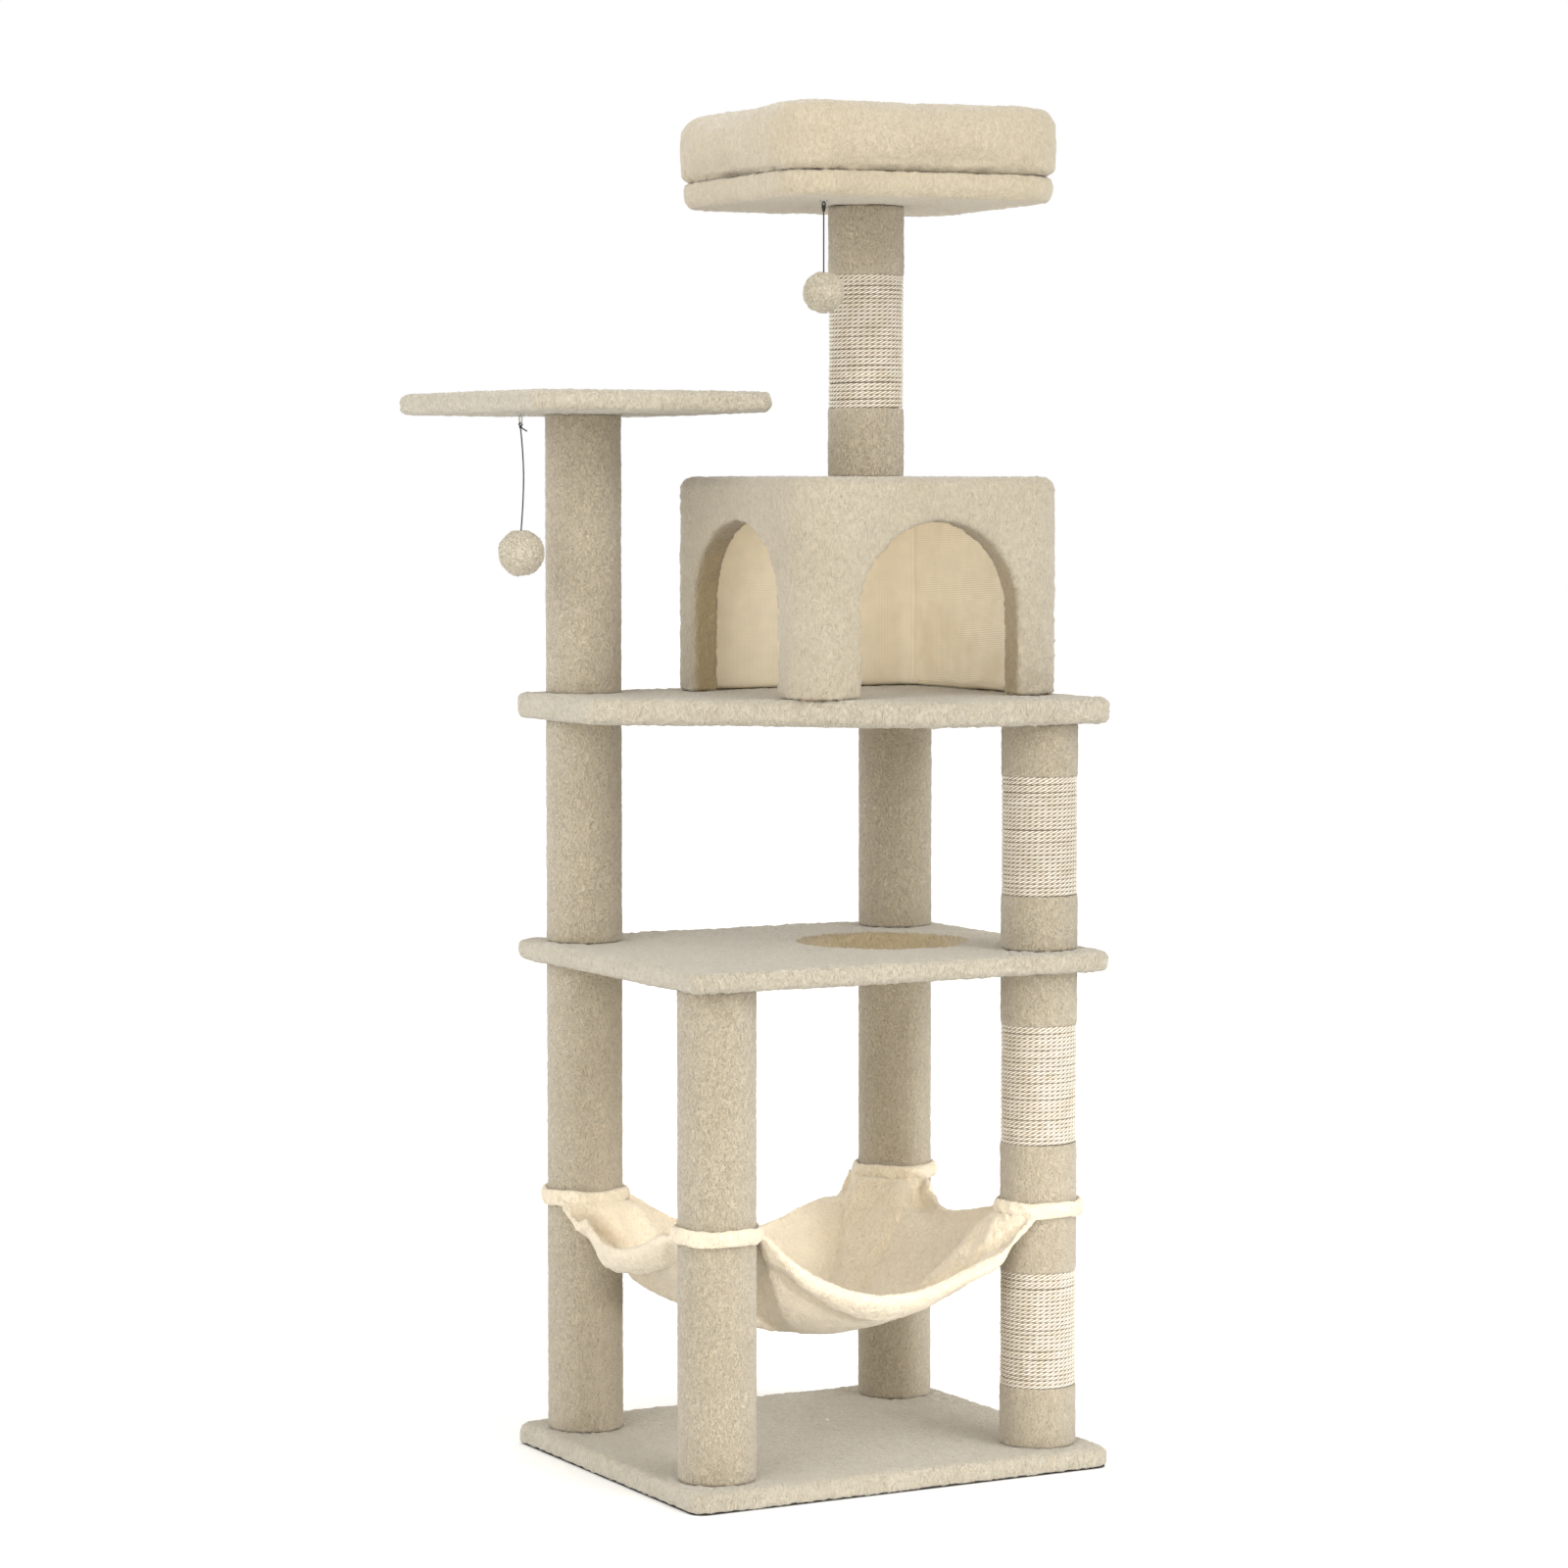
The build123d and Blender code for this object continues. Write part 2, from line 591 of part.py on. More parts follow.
def cord_loop(x, y, under, height):
    """Upright oval loop of cord round the staple's crown, and the level of its lowest wire."""
    top = under - STAPLE_CROWN + LOOP_ABOVE_CROWN
    half = height / 2 - LOOP_WIRE_R
    oval = Pos(x, y, top - height / 2) * (Plane.YZ * Ellipse(LOOP_HALF_WIDTH, half))
    path = oval.edge()
    section = Plane(origin=path @ 0, z_dir=path % 0) * Circle(LOOP_WIRE_R)
    return sweep(section, path=path), top - height + LOOP_WIRE_R


def knot(x, y, level, tail):
    """Knot round the loop's lowest wire, free to turn about it, with an optional cut tail."""
    shape = Pos(x, y, level) * Rot(90, 0, 0) * Torus(KNOT_RING_R, STRING_R)
    shape += Pos(x, y, level - KNOT_DROP) * Sphere(KNOT_R)
    if tail:
        slanted = Rot(0, TAIL_SLANT, 0) * Pos(0, 0, tail / 2) * Cylinder(STRING_R, tail)
        shape += Pos(x, y, level - KNOT_DROP) * slanted
    return shape


def make_toy(name, place, under, loop, ball_z, ball_r, bends, tail):
    """One toy: loop, knot, string and ball. bends are the string's points between its ends."""
    x, y = place
    loop_solid, wire_z = cord_loop(x, y, under, loop)
    string_high = wire_z - KNOT_DROP - KNOT_R
    string_low = ball_z + ball_r - STRING_SOCKET
    flat = disc(x, y, KNOT_R, string_high - KNOT_R, string_high + KNOT_FLAT)
    cord_knot = knot(x, y, wire_z, tail) - flat
    string = string_tube([(x, y, string_high), *bends, (x, y, string_low)])
    socket = disc(x, y, STRING_R + STRING_FIT, string_low, ball_z + ball_r)
    stuffed = Pos(x, y, ball_z) * Sphere(ball_r) - socket
    write(name + "_loop", loop_solid)
    write(name + "_knot", cord_knot)
    write(name + "_string", string)
    write(name + "_ball", stuffed)
    print(name, "hinges at z", under - STAPLE_CROWN, "and", wire_z, "string from", string_high)
    return staple(x, y, under)


def main():
    bolts = make_base() + make_mid_shelf() + make_upper_shelf()
    nuts = [make_perch(), make_bed()]
    make_columns()
    make_studs()
    bolts.append(make_house())
    make_hammock()
    staples = [
        make_toy("side_toy", SIDE_TOY, PERCH_LOW, SIDE_LOOP, SIDE_BALL_Z, SIDE_BALL_R, SIDE_BENDS, KNOT_TAIL),
        make_toy("top_toy", TOP_TOY, BED_LOW, TOP_LOOP, TOP_BALL_Z, TOP_BALL_R, [], 0),
    ]
    write("column_bolts", bolts)
    write("flanged_nuts", nuts)
    write("toy_staples", staples)


main()
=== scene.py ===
import bmesh
import bpy
import math
import numpy as np
from mathutils import Matrix, Vector, noise


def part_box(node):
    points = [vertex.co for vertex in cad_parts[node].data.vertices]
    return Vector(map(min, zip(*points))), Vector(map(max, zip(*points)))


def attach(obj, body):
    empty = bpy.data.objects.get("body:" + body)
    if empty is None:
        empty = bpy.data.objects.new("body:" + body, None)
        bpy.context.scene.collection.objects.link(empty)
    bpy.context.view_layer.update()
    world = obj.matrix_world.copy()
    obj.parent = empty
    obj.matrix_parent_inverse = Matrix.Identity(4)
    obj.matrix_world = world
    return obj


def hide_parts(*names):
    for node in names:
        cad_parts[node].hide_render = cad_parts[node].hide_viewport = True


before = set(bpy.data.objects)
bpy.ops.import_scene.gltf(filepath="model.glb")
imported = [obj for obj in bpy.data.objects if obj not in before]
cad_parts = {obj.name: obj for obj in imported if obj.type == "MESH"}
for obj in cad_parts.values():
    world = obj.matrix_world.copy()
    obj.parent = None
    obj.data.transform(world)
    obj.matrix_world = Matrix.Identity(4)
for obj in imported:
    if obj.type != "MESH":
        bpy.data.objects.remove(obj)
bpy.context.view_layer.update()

# Cat tree. Metres, +Z up, the origin on the floor under the middle of the base.
BASE_SIZE = (0.54, 0.46)
UNDERLAY_SIZE = (0.536, 0.456)
UNDERLAY_CORNER = 0.016
UNDERLAY_EDGE = 0.0003
PERCH_SIZE = (0.306, 0.38)
SHELF_CUT = 0.034       # where the upper shelf's cut ends: this far back and this far right of the middle
COLUMNS = {"left": (-0.209, 0.165), "front": (-0.209, -0.165), "back": (0.209, 0.165),
           "right": (0.209, -0.165), "top": (0.084, 0.018)}
HOUSE = COLUMNS["top"]
BOLTED_AT = {"mid_shelf_cover": ["front"], "upper_shelf_cover": ["right", "back"]}  # where bolt heads lie
TUBE_R = 0.038
SLEEVE_R = 0.0442
SLEEVE_FACE = 0.0026    # length of a sleeve's faces
SLEEVE_SLACK = 0.0004   # how far a sleeve stays inside its CAD piece
SLEEVE_SEAM = 0.0016    # depth of the butt seam down a sleeve
COLLAR_LAP = 0.0009     # how far the collars' plush laps over the rope
ROPE_R = 0.0024
ROPE_CREST = 0.0432
ROPE_LAY = 0.0270       # length of rope in which its strands go round once
ROPE_STEPS = 170        # sections of rope in one turn round the tube
RING_Z = 0.299
CLIMB_HOLE = (0.097, 0.0)
CLIMB_R = 0.098
HOUSE_SIZE = 0.346
ARCH_R = 0.103
ARCH_TOP = 1.085
SEAM_GAP = 0.0003       # how far the bed's base and bolster each stop short of the seam between them
SEAM_FILL = 0.0024      # how far the bed's fabric swells out again into its seam
BED_SIZE = 0.356
BED_CORNER = 0.06
HOLLOW_SIZE = 0.208
HOLLOW_CORNER = 0.04
PAD_SIZE = 0.2
PAD_CORNER = 0.036
SIM_FRAMES = 20
BED_TURN = -4.0         # the bed is turned on its single stud, in degrees about +Z
PLATE_CORNER = 0.018
EDGE_ROUND = 0.009
HOLE_ROUND = 0.005
UNDER_ROUND = 0.002     # rounding of the base's lower edge
SHARP = 0.0001          # rounding of an edge that is left sharp
PAST = 0.01             # how far a cutter passes the faces that it cuts
BOARD_INSET = 0.0055
CORNER_STEPS = 8        # faces round a plate's corner, and
EDGE_STEPS = 4          # round its edge
STRING_R = 0.0008
SIDE_TOY = (-0.323, 0.093)
TOP_TOY = (-0.024, -0.075)
RNG = np.random.default_rng(7)

CAMERA_PLACE = (-2.5671, -4.6332, 1.1238)
CAMERA_LENS = 105.63    # mm, on a 36 mm sensor
CAMERA_DOWN = 3.696     # degrees
CAMERA_RIGHT = 28.666   # degrees, turned from +Y towards +X
# Each light: its kind, place, target, power, the side of an area or the angle of the sun in degrees, and
# an area's spread in degrees. The house and the hammock have one each, since the shelves shade them.
LIGHTS = {
    "day_light": ("SUN", (1.5, -3.5, 2.8), (0, 0, 0), 1.16, 38, None),
    "fill_light": ("AREA", (-3.8, -2.1, 2.5), (0, 0, 0.75), 60, 2.6, 180),
    "back_light": ("AREA", (-0.5, 3.8, 3.0), (0, 0, 0.9), 40, 3.0, 180),
    "house_light": ("AREA", (0.0, -0.085, 1.075), (0.19, 0.17, 0.98), 0.10, 0.06, 110),
    "low_light": ("AREA", (0.42, -2.2, 0.60), (0.02, 0.02, 0.23), 0.34, 0.5, 11),
}
FLOOR_SIZE = 60.0
FLOOR_DROP = 0.0005     # the floor lies a hair under the underlay

# Relief of the pile and of wrinkles: the size of its lumps and their full height, layer by layer
SHELF_RELIEF = ((0.0075, 0.0040), (0.0038, 0.0022), (0.09, 0.0022))
SLEEVE_RELIEF = ((0.0045, 0.0020), (0.018, 0.0012))
HOUSE_RELIEF = ((0.0075, 0.0042), (0.0045, 0.0024), (0.03, 0.0016), (0.11, 0.0030))
LINING_RELIEF = ((0.05, 0.0022), (0.14, 0.0030))
BED_BASE_RELIEF = ((0.0075, 0.0030), (0.0040, 0.0014), (0.024, 0.0022))
BOLSTER_RELIEF = ((0.0075, 0.0030), (0.0040, 0.0014), (0.03, 0.0034))
PAD_RELIEF = ((0.0065, 0.0022), (0.03, 0.0020))
SLING_RELIEF = ((0.0075, 0.0026), (0.0040, 0.0012), (0.028, 0.0030))
RING_RELIEF = ((0.0045, 0.0020), (0.018, 0.0020))

# Base colours of the fabrics
SHELF_TONE = (0.60, 0.55, 0.45)
HOUSE_TONE = (0.53, 0.472, 0.368)
BED_TONE = (0.57, 0.498, 0.374)
COLUMN_TONE = (0.57, 0.50, 0.385)
HAMMOCK_TONE = (0.98, 0.865, 0.675)
LINING_TONE = (0.94, 0.86, 0.70)
BALL_TONE = (0.68, 0.62, 0.50)
SISAL_TONE = (0.91, 0.87, 0.79)
WHITE = (1, 1, 1)


# ---------------------------------------------------------------- camera, light and floor

def make_camera():
    data = bpy.data.cameras.new("camera")
    data.sensor_width = 36.0
    data.lens = CAMERA_LENS
    data.clip_end = 100.0
    cam = bpy.data.objects.new("camera", data)
    bpy.context.scene.collection.objects.link(cam)
    cam.location = CAMERA_PLACE
    cam.rotation_euler = (math.radians(90 - CAMERA_DOWN), 0, math.radians(-CAMERA_RIGHT))
    bpy.context.scene.camera = cam


def aimed_light(name, kind, place, target, power, size, spread):
    data = bpy.data.lights.new(name, kind)
    data.energy = power
    lamp = bpy.data.objects.new(name, data)
    bpy.context.scene.collection.objects.link(lamp)
    lamp.location = place
    lamp.rotation_euler = (Vector(target) - Vector(place)).to_track_quat("-Z", "Y").to_euler()
    if kind == "SUN":
        data.angle = math.radians(size)
    else:
        data.size = size
        data.spread = math.radians(spread)


def make_studio():
    """Broad soft daylight from the front right, fills round it, and an even white surround."""
    for name, light in LIGHTS.items():
        aimed_light(name, *light)
    world = bpy.data.worlds.new("studio")
    world.use_nodes = True
    nodes, links = world.node_tree.nodes, world.node_tree.links
    surround = nodes["Background"]
    surround.inputs["Color"].default_value = (1.0, 0.985, 0.95, 1.0)
    surround.inputs["Strength"].default_value = 0.99
    seen = nodes.new("ShaderNodeBackground")
    seen.inputs["Color"].default_value = (*WHITE, 1)
    seen.inputs["Strength"].default_value = 1.0
    blend = nodes.new("ShaderNodeMixShader")
    links.new(nodes.new("ShaderNodeLightPath").outputs["Is Camera Ray"], blend.inputs[0])
    links.new(surround.outputs[0], blend.inputs[1])
    links.new(seen.outputs[0], blend.inputs[2])
    links.new(blend.outputs[0], nodes["World Output"].inputs["Surface"])
    bpy.context.scene.world = world
    bpy.context.scene.view_settings.view_transform = "Standard"


def make_floor():
    mesh = bpy.data.meshes.new("floor")
    corners = [(x, y, 0) for x, y in rectangle(0, 0, FLOOR_SIZE, FLOOR_SIZE)]
    mesh.from_pydata(corners, [], [(0, 1, 2, 3)])
    floor = to_object("floor", mesh)
    floor.location.z = -FLOOR_DROP
    mat = Material("floor_paint")
    mat.set(rough=0.8, specular=0.2)
    mat.colour(mat.ramp(mat.noise(3.0, 2), [(0.3, (0.965, 0.965, 0.965)), (0.7, (0.98, 0.98, 0.98))]))
    mesh.materials.append(mat.data)


# ---------------------------------------------------------------- materials

class Material:
    """A node material on object coordinates, in metres."""

    def __init__(self, name):
        self.data = bpy.data.materials.new(name)
        self.data.use_nodes = True
        self.nodes = self.data.node_tree.nodes
        self.links = self.data.node_tree.links
        self.bsdf = self.nodes["Principled BSDF"]
        self.coords = self.nodes.new("ShaderNodeTexCoord").outputs["Object"]
        self.height = None

    def set(self, rough, specular=0.5, sheen=0.0, metal=0.0, sheen_rough=0.5):
        self.bsdf.inputs["Roughness"].default_value = rough
        self.bsdf.inputs["Specular IOR Level"].default_value = specular
        self.bsdf.inputs["Sheen Weight"].default_value = sheen
        self.bsdf.inputs["Sheen Roughness"].default_value = sheen_rough
        self.bsdf.inputs["Metallic"].default_value = metal

    def mapped(self, scale=(1, 1, 1), turn=(0, 0, 0)):
        node = self.nodes.new("ShaderNodeMapping")
        node.inputs["Scale"].default_value = scale
        node.inputs["Rotation"].default_value = turn
        self.links.new(self.coords, node.inputs["Vector"])
        return node.outputs["Vector"]

    def noise(self, scale, detail=3, vector=None, rough=0.5, distortion=0.0):
        node = self.nodes.new("ShaderNodeTexNoise")
        node.inputs["Scale"].default_value = scale
        node.inputs["Detail"].default_value = detail
        node.inputs["Roughness"].default_value = rough
        node.inputs["Distortion"].default_value = distortion
        self.links.new(self.coords if vector is None else vector, node.inputs["Vector"])
        return node.outputs["Fac"]

    def wave(self, scale, vector, distortion=0.0):
        node = self.nodes.new("ShaderNodeTexWave")
        node.inputs["Scale"].default_value = scale
        node.inputs["Distortion"].default_value = distortion
        self.links.new(vector, node.inputs["Vector"])
        return node.outputs["Fac"]

    def ramp(self, value, stops):
        node = self.nodes.new("ShaderNodeValToRGB")
        ramp = node.color_ramp
        while len(ramp.elements) < len(stops):
            ramp.elements.new(0.5)
        for element, (place, colour) in zip(ramp.elements, stops):
            element.position = place
            element.color = (*colour, 1.0)
        self.links.new(value, node.inputs["Fac"])
        return node.outputs["Color"]

    def times(self, a, b, amount=1.0):
        """The first colour multiplied by the second."""
        node = self.nodes.new("ShaderNodeMix")
        node.data_type = "RGBA"
        node.blend_type = "MULTIPLY"
        node.inputs["Factor"].default_value = amount
        self.links.new(a, node.inputs[6])
        self.links.new(b, node.inputs[7])
        return node.outputs[2]

    def product(self, a, b):
        node = self.nodes.new("ShaderNodeMath")
        node.operation = "MULTIPLY"
        self.links.new(a, node.inputs[0])
        self.links.new(b, node.inputs[1])
        return node.outputs["Value"]

    def colour(self, socket):
        self.links.new(socket, self.bsdf.inputs["Base Color"])

    def bump(self, value, depth, strength=1.0):
        """Adds one layer of bump, depth in metres."""
        node = self.nodes.new("ShaderNodeBump")
        node.inputs["Strength"].default_value = strength
        node.inputs["Distance"].default_value = depth
        self.links.new(value, node.inputs["Height"])
        if self.height is not None:
            self.links.new(self.height, node.inputs["Normal"])
        self.height = node.outputs["Normal"]
        self.links.new(self.height, self.bsdf.inputs["Normal"])


def scaled(colour, factor):
    return tuple(min(1.0, c * factor) for c in colour)


def plush(name, tone, dark=0.86, bright=1.07, tuft=210.0, pile=520.0, deep=0.0028, sheen=0.6, grain=0.8,
          streak=(1, 1, 0.35)):
    """Short-pile plush: cloudy patches, curling tufts and single fibres, each with its own tone and height.

    The tufts' tone runs from dark to bright. tuft and pile are how fine the tufts and the fibres are, deep
    is the relief's depth, and grain is how strongly the fibres show. The point attribute hollow is 1 on the
    walls of the climbing hole and of the arches' reveals, where the colour is painted darker and warmer as
    painted shade."""
    turn = (0.5, 0.6, 0.3)
    mat = Material(name)
    mat.set(rough=0.95, specular=0.15, sheen=sheen, sheen_rough=0.38)
    hollow = mat.nodes.new("ShaderNodeAttribute")
    hollow.attribute_name = "hollow"
    patch = mat.noise(14.0, 2)
    tufts = mat.noise(tuft, 3, mat.mapped((1, 1, 0.6), turn), rough=0.6, distortion=1.8)
    fibres = mat.noise(pile, 3, mat.mapped(streak, turn), rough=0.7, distortion=0.6)
    clumps = mat.ramp(tufts, [(0.34, scaled(tone, dark)), (0.50, tone), (0.66, scaled(tone, bright))])
    shade = mat.ramp(fibres, [(0.38, (0.74, 0.68, 0.58)), (0.50, (0.95, 0.94, 0.91)), (0.62, WHITE)])
    cloud = mat.ramp(patch, [(0.3, (0.94, 0.93, 0.91)), (0.7, WHITE)])
    # Painted shade: a darker, warmer tint where the attribute marks hole walls and arch reveals
    inner = mat.ramp(hollow.outputs["Fac"], [(0.0, WHITE), (1.0, (0.80, 0.71, 0.55))])
    fur = mat.times(mat.times(clumps, shade, grain), cloud)
    mat.colour(mat.times(fur, inner))
    mat.bump(tufts, deep)
    mat.bump(fibres, deep * 0.5)
    return mat.data


def sisal(name, tone):
    """Sisal fibre, by the attribute crest: painted shade, brown in the grooves between strands and in the
    gaps between turns, with the crown of a strand at full tone.
    """
    mat = Material(name)
    mat.set(rough=0.38, specular=0.55, sheen=0.1)
    crest = mat.nodes.new("ShaderNodeAttribute")
    crest.attribute_name = "crest"
    # Painted shade in the rope's grooves between strands and in the gaps between turns
    strand = mat.ramp(crest.outputs["Fac"],
                      [(0.0, (0.24, 0.16, 0.09)), (0.34, (0.68, 0.60, 0.48)), (0.70, WHITE)])
    fibres = mat.noise(1500.0, 3, mat.mapped((1, 1, 0.35)), rough=0.65)
    fine = mat.ramp(fibres, [(0.28, scaled(tone, 0.78)), (0.5, tone), (0.75, scaled(tone, 1.12))])
    shade = mat.ramp(mat.noise(60.0, 2), [(0.30, (0.88, 0.85, 0.79)), (0.65, WHITE)])
    mat.colour(mat.times(mat.times(fine, shade), strand))
    mat.bump(fibres, 0.0005, 0.8)
    return mat.data


def woven(name, tone):
    """Plain-weave cloth with slubs."""
    count = 150.0
    mat = Material(name)
    mat.set(rough=0.75, specular=0.25, sheen=0.15)
    slub = mat.noise(45.0, 3)
    across = mat.wave(count, mat.mapped((1, 1, 0)), 0.6)
    up = mat.wave(count, mat.mapped((0, 0, 1), (0, math.radians(90), 0)), 0.6)
    weave = mat.product(across, up)
    tint = mat.ramp(slub, [(0.3, scaled(tone, 0.95)), (0.7, scaled(tone, 1.03))])
    threads = mat.ramp(weave, [(0.0, (0.86, 0.83, 0.77)), (0.6, WHITE)])
    mat.colour(mat.times(tint, threads))
    mat.bump(weave, 0.0003, 0.7)
    return mat.data


def speckled(name, tone, scale, low=0.75, high=1.1, rough=0.7, specular=0.3, metal=0.0, depth=0.0002,
             stretch=(1, 1, 1)):
    """Card, board, felt, plastic or metal with grain at the given scale, its tone from low to high."""
    mat = Material(name)
    mat.set(rough=rough, specular=specular, metal=metal)
    grain = mat.noise(scale, 4, mat.mapped(stretch), rough=0.65)
    fleck = mat.noise(scale * 0.15, 2)
    tint = mat.ramp(grain, [(0.3, scaled(tone, low)), (0.7, scaled(tone, high))])
    wear = mat.ramp(fleck, [(0.3, (0.92, 0.92, 0.92)), (0.7, WHITE)])
    mat.colour(mat.times(tint, wear))
    mat.bump(grain, depth, 0.7)
    return mat.data


def braided(name, tone):
    """Thin cord, its strands slanting round it."""
    mat = Material(name)
    mat.set(rough=0.55, specular=0.3, sheen=0.1)
    slant = mat.wave(900.0, mat.mapped(turn=(math.radians(35), 0, math.radians(30))), 0.5)
    fibres = mat.noise(2500.0, 2)
    tint = mat.ramp(slant, [(0.1, scaled(tone, 0.55)), (0.7, scaled(tone, 1.2))])
    fine = mat.ramp(fibres, [(0.3, (0.8, 0.8, 0.8)), (0.7, WHITE)])
    mat.colour(mat.times(tint, fine))
    mat.bump(slant, 0.0002, 0.8)
    return mat.data


# ---------------------------------------------------------------- mesh tools

def to_object(name, mesh):
    obj = bpy.data.objects.new(name, mesh)
    bpy.context.scene.collection.objects.link(obj)
    return obj


def mesh_object(name, verts, faces):
    mesh = bpy.data.meshes.new(name)
    mesh.from_pydata([tuple(v) for v in verts], [], faces)
    mesh.update()
    return to_object(name, mesh)


def bake_modifiers(obj):
    """Replaces the object's mesh with what its modifiers make of it."""
    bpy.context.view_layer.update()
    shaped = obj.evaluated_get(bpy.context.evaluated_depsgraph_get())
    mesh = bpy.data.meshes.new_from_object(shaped)
    obj.modifiers.clear()
    old = obj.data
    obj.data = mesh
    bpy.data.meshes.remove(old)


def remesh(obj, voxel, smooth=0, factor=0.5):
    """Voxel remesh, then so many rounds of smoothing."""
    mod = obj.modifiers.new("remesh", "REMESH")
    mod.mode = "VOXEL"
    mod.voxel_size = voxel
    mod.use_smooth_shade = True
    if smooth:
        relax = obj.modifiers.new("smooth", "SMOOTH")
        relax.factor = factor
        relax.iterations = smooth
    bake_modifiers(obj)


def clouds(size):
    """Cloud noise of one size, made once."""
    name = f"clouds_{size * 1000:g}"
    texture = bpy.data.textures.get(name)
    if texture is None:
        texture = bpy.data.textures.new(name, "CLOUDS")
        texture.noise_scale = size
        texture.noise_depth = 1
        texture.noise_basis = "ORIGINAL_PERLIN"
    return texture


def roughen(obj, *layers):
    """Raises and sinks the surface by noise; a layer is its size and its full height, in metres."""
    for size, height in layers:
        mod = obj.modifiers.new("displace", "DISPLACE")
        mod.texture = clouds(size)
        mod.texture_coords = "GLOBAL"
        mod.strength = height
        mod.mid_level = 0.5
    bake_modifiers(obj)


def settle(obj, material, nodes, body="root"):
    """Gives a piece its material, the CAD nodes that it stands for and its body."""
    obj.data.materials.clear()
    obj.data.materials.append(material)
    obj.data.polygons.foreach_set("use_smooth", [True] * len(obj.data.polygons))
    obj.data.update()
    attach(obj, body)
    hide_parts(*nodes)


def points_of(obj):
    co = np.empty(len(obj.data.vertices) * 3)
    obj.data.vertices.foreach_get("co", co)
    return co.reshape(-1, 3)


def move_points(obj, co):
    obj.data.vertices.foreach_set("co", co.ravel())
    obj.data.update()


def rounded_outline(corners, inset, radius):
    """Convex outline, its edges moved in by inset and its corners rounded."""
    count = len(corners)
    lines = []
    for i in range(count):
        a = Vector(corners[i])
        b = Vector(corners[(i + 1) % count])
        along = (b - a).normalized()
        lines.append((a + Vector((-along.y, along.x)) * inset, along))
    points = []
    small = max(radius - inset, 0.001)
    for i in range(count):
        (p, u), (q, v) = lines[i - 1], lines[i]
        t = (q - p).cross(v) / u.cross(v)
        corner = p + u * t
        half = u.angle(v) / 2
        back = small * math.tan(half)
        start = corner - u * back
        centre = start + Vector((-u.y, u.x)) * small
        for k in range(CORNER_STEPS + 1):
            spoke = start - centre
            spoke.rotate(Matrix.Rotation(2 * half * k / CORNER_STEPS, 2))
            points.append(centre + spoke)
    return [(p.x, p.y) for p in points]


def rectangle(x, y, width, depth):
    a, b = width / 2, depth / 2
    return [(x - a, y - b), (x + a, y - b), (x + a, y + b), (x - a, y + b)]


def loft(name, loops):
    """Closed form through loops of equal length, capped at both ends."""
    verts = [p for loop in loops for p in loop]
    n = len(loops[0])
    faces = []
    for k in range(len(loops) - 1):
        for i in range(n):
            j = (i + 1) % n
            faces.append((k * n + i, k * n + j, (k + 1) * n + j, (k + 1) * n + i))
    faces.append(tuple(reversed(range(n))))
    faces.append(tuple((len(loops) - 1) * n + i for i in range(n)))
    return mesh_object(name, verts, faces)


def edge_profile(low, high, bottom, top):
    """Inset and height up the side of a plate whose edges are rounded by bottom and top."""
    profile = []
    for k in range(EDGE_STEPS + 1):
        a = math.pi / 2 * k / EDGE_STEPS
        profile.append((bottom * (1 - math.sin(a)), low + bottom * (1 - math.cos(a))))
    for k in range(EDGE_STEPS + 1):
        a = math.pi / 2 * k / EDGE_STEPS
        profile.append((top * (1 - math.cos(a)), high - top * (1 - math.sin(a))))
    return profile


def block(name, corners, radius, low, high, bottom, top):
    """Plate with rounded corners, its lower and upper edges rounded by bottom and top."""
    loops = [[(x, y, z) for x, y in rounded_outline(corners, inset, radius)]
             for inset, z in edge_profile(low, high, bottom, top)]
    return loft(name, loops)


def revolved(name, x, y, profile, segments):
    """Ring of revolution from a closed profile of radii and heights, anticlockwise in r, z."""
    verts, faces = [], []
    n = len(profile)
    for k in range(segments):
        a = 2 * math.pi * k / segments
        verts += [(x + r * math.cos(a), y + r * math.sin(a), z) for r, z in profile]
    for k in range(segments):
        j = (k + 1) % segments
        for i in range(n):
            m = (i + 1) % n
            faces.append((k * n + i, j * n + i, j * n + m, k * n + m))
    return mesh_object(name, verts, faces)


def cut(obj, tool):
    """Cuts the tool out of the object, and removes the tool."""
    mod = obj.modifiers.new("cut", "BOOLEAN")
    mod.operation = "DIFFERENCE"
    mod.object = tool
    mod.solver = "EXACT"
    bake_modifiers(obj)
    bpy.data.objects.remove(tool)


def add_cavity(obj, corners, radius, low, high, hole=None):
    """Hollows a covered plate round its board, with a few faces turned inwards.

    hole is the x, y and radius of a hole through both."""
    inner = block("cavity", corners, radius, low, high, SHARP, SHARP)
    if hole:
        x, y, radius = hole
        bore = [(SHARP, low - PAST), (radius, low - PAST), (radius, high + PAST), (SHARP, high + PAST)]
        cut(inner, revolved("bore", x, y, bore, 48))
    inner.data.flip_normals()
    join(obj, [inner])


def join(obj, others):
    """Adds the others' meshes to the object's, and removes them."""
    mesh = bmesh.new()
    mesh.from_mesh(obj.data)
    for other in others:
        mesh.from_mesh(other.data)
        bpy.data.objects.remove(other)
    mesh.to_mesh(obj.data)
    mesh.free()
    return obj


# ---------------------------------------------------------------- plates

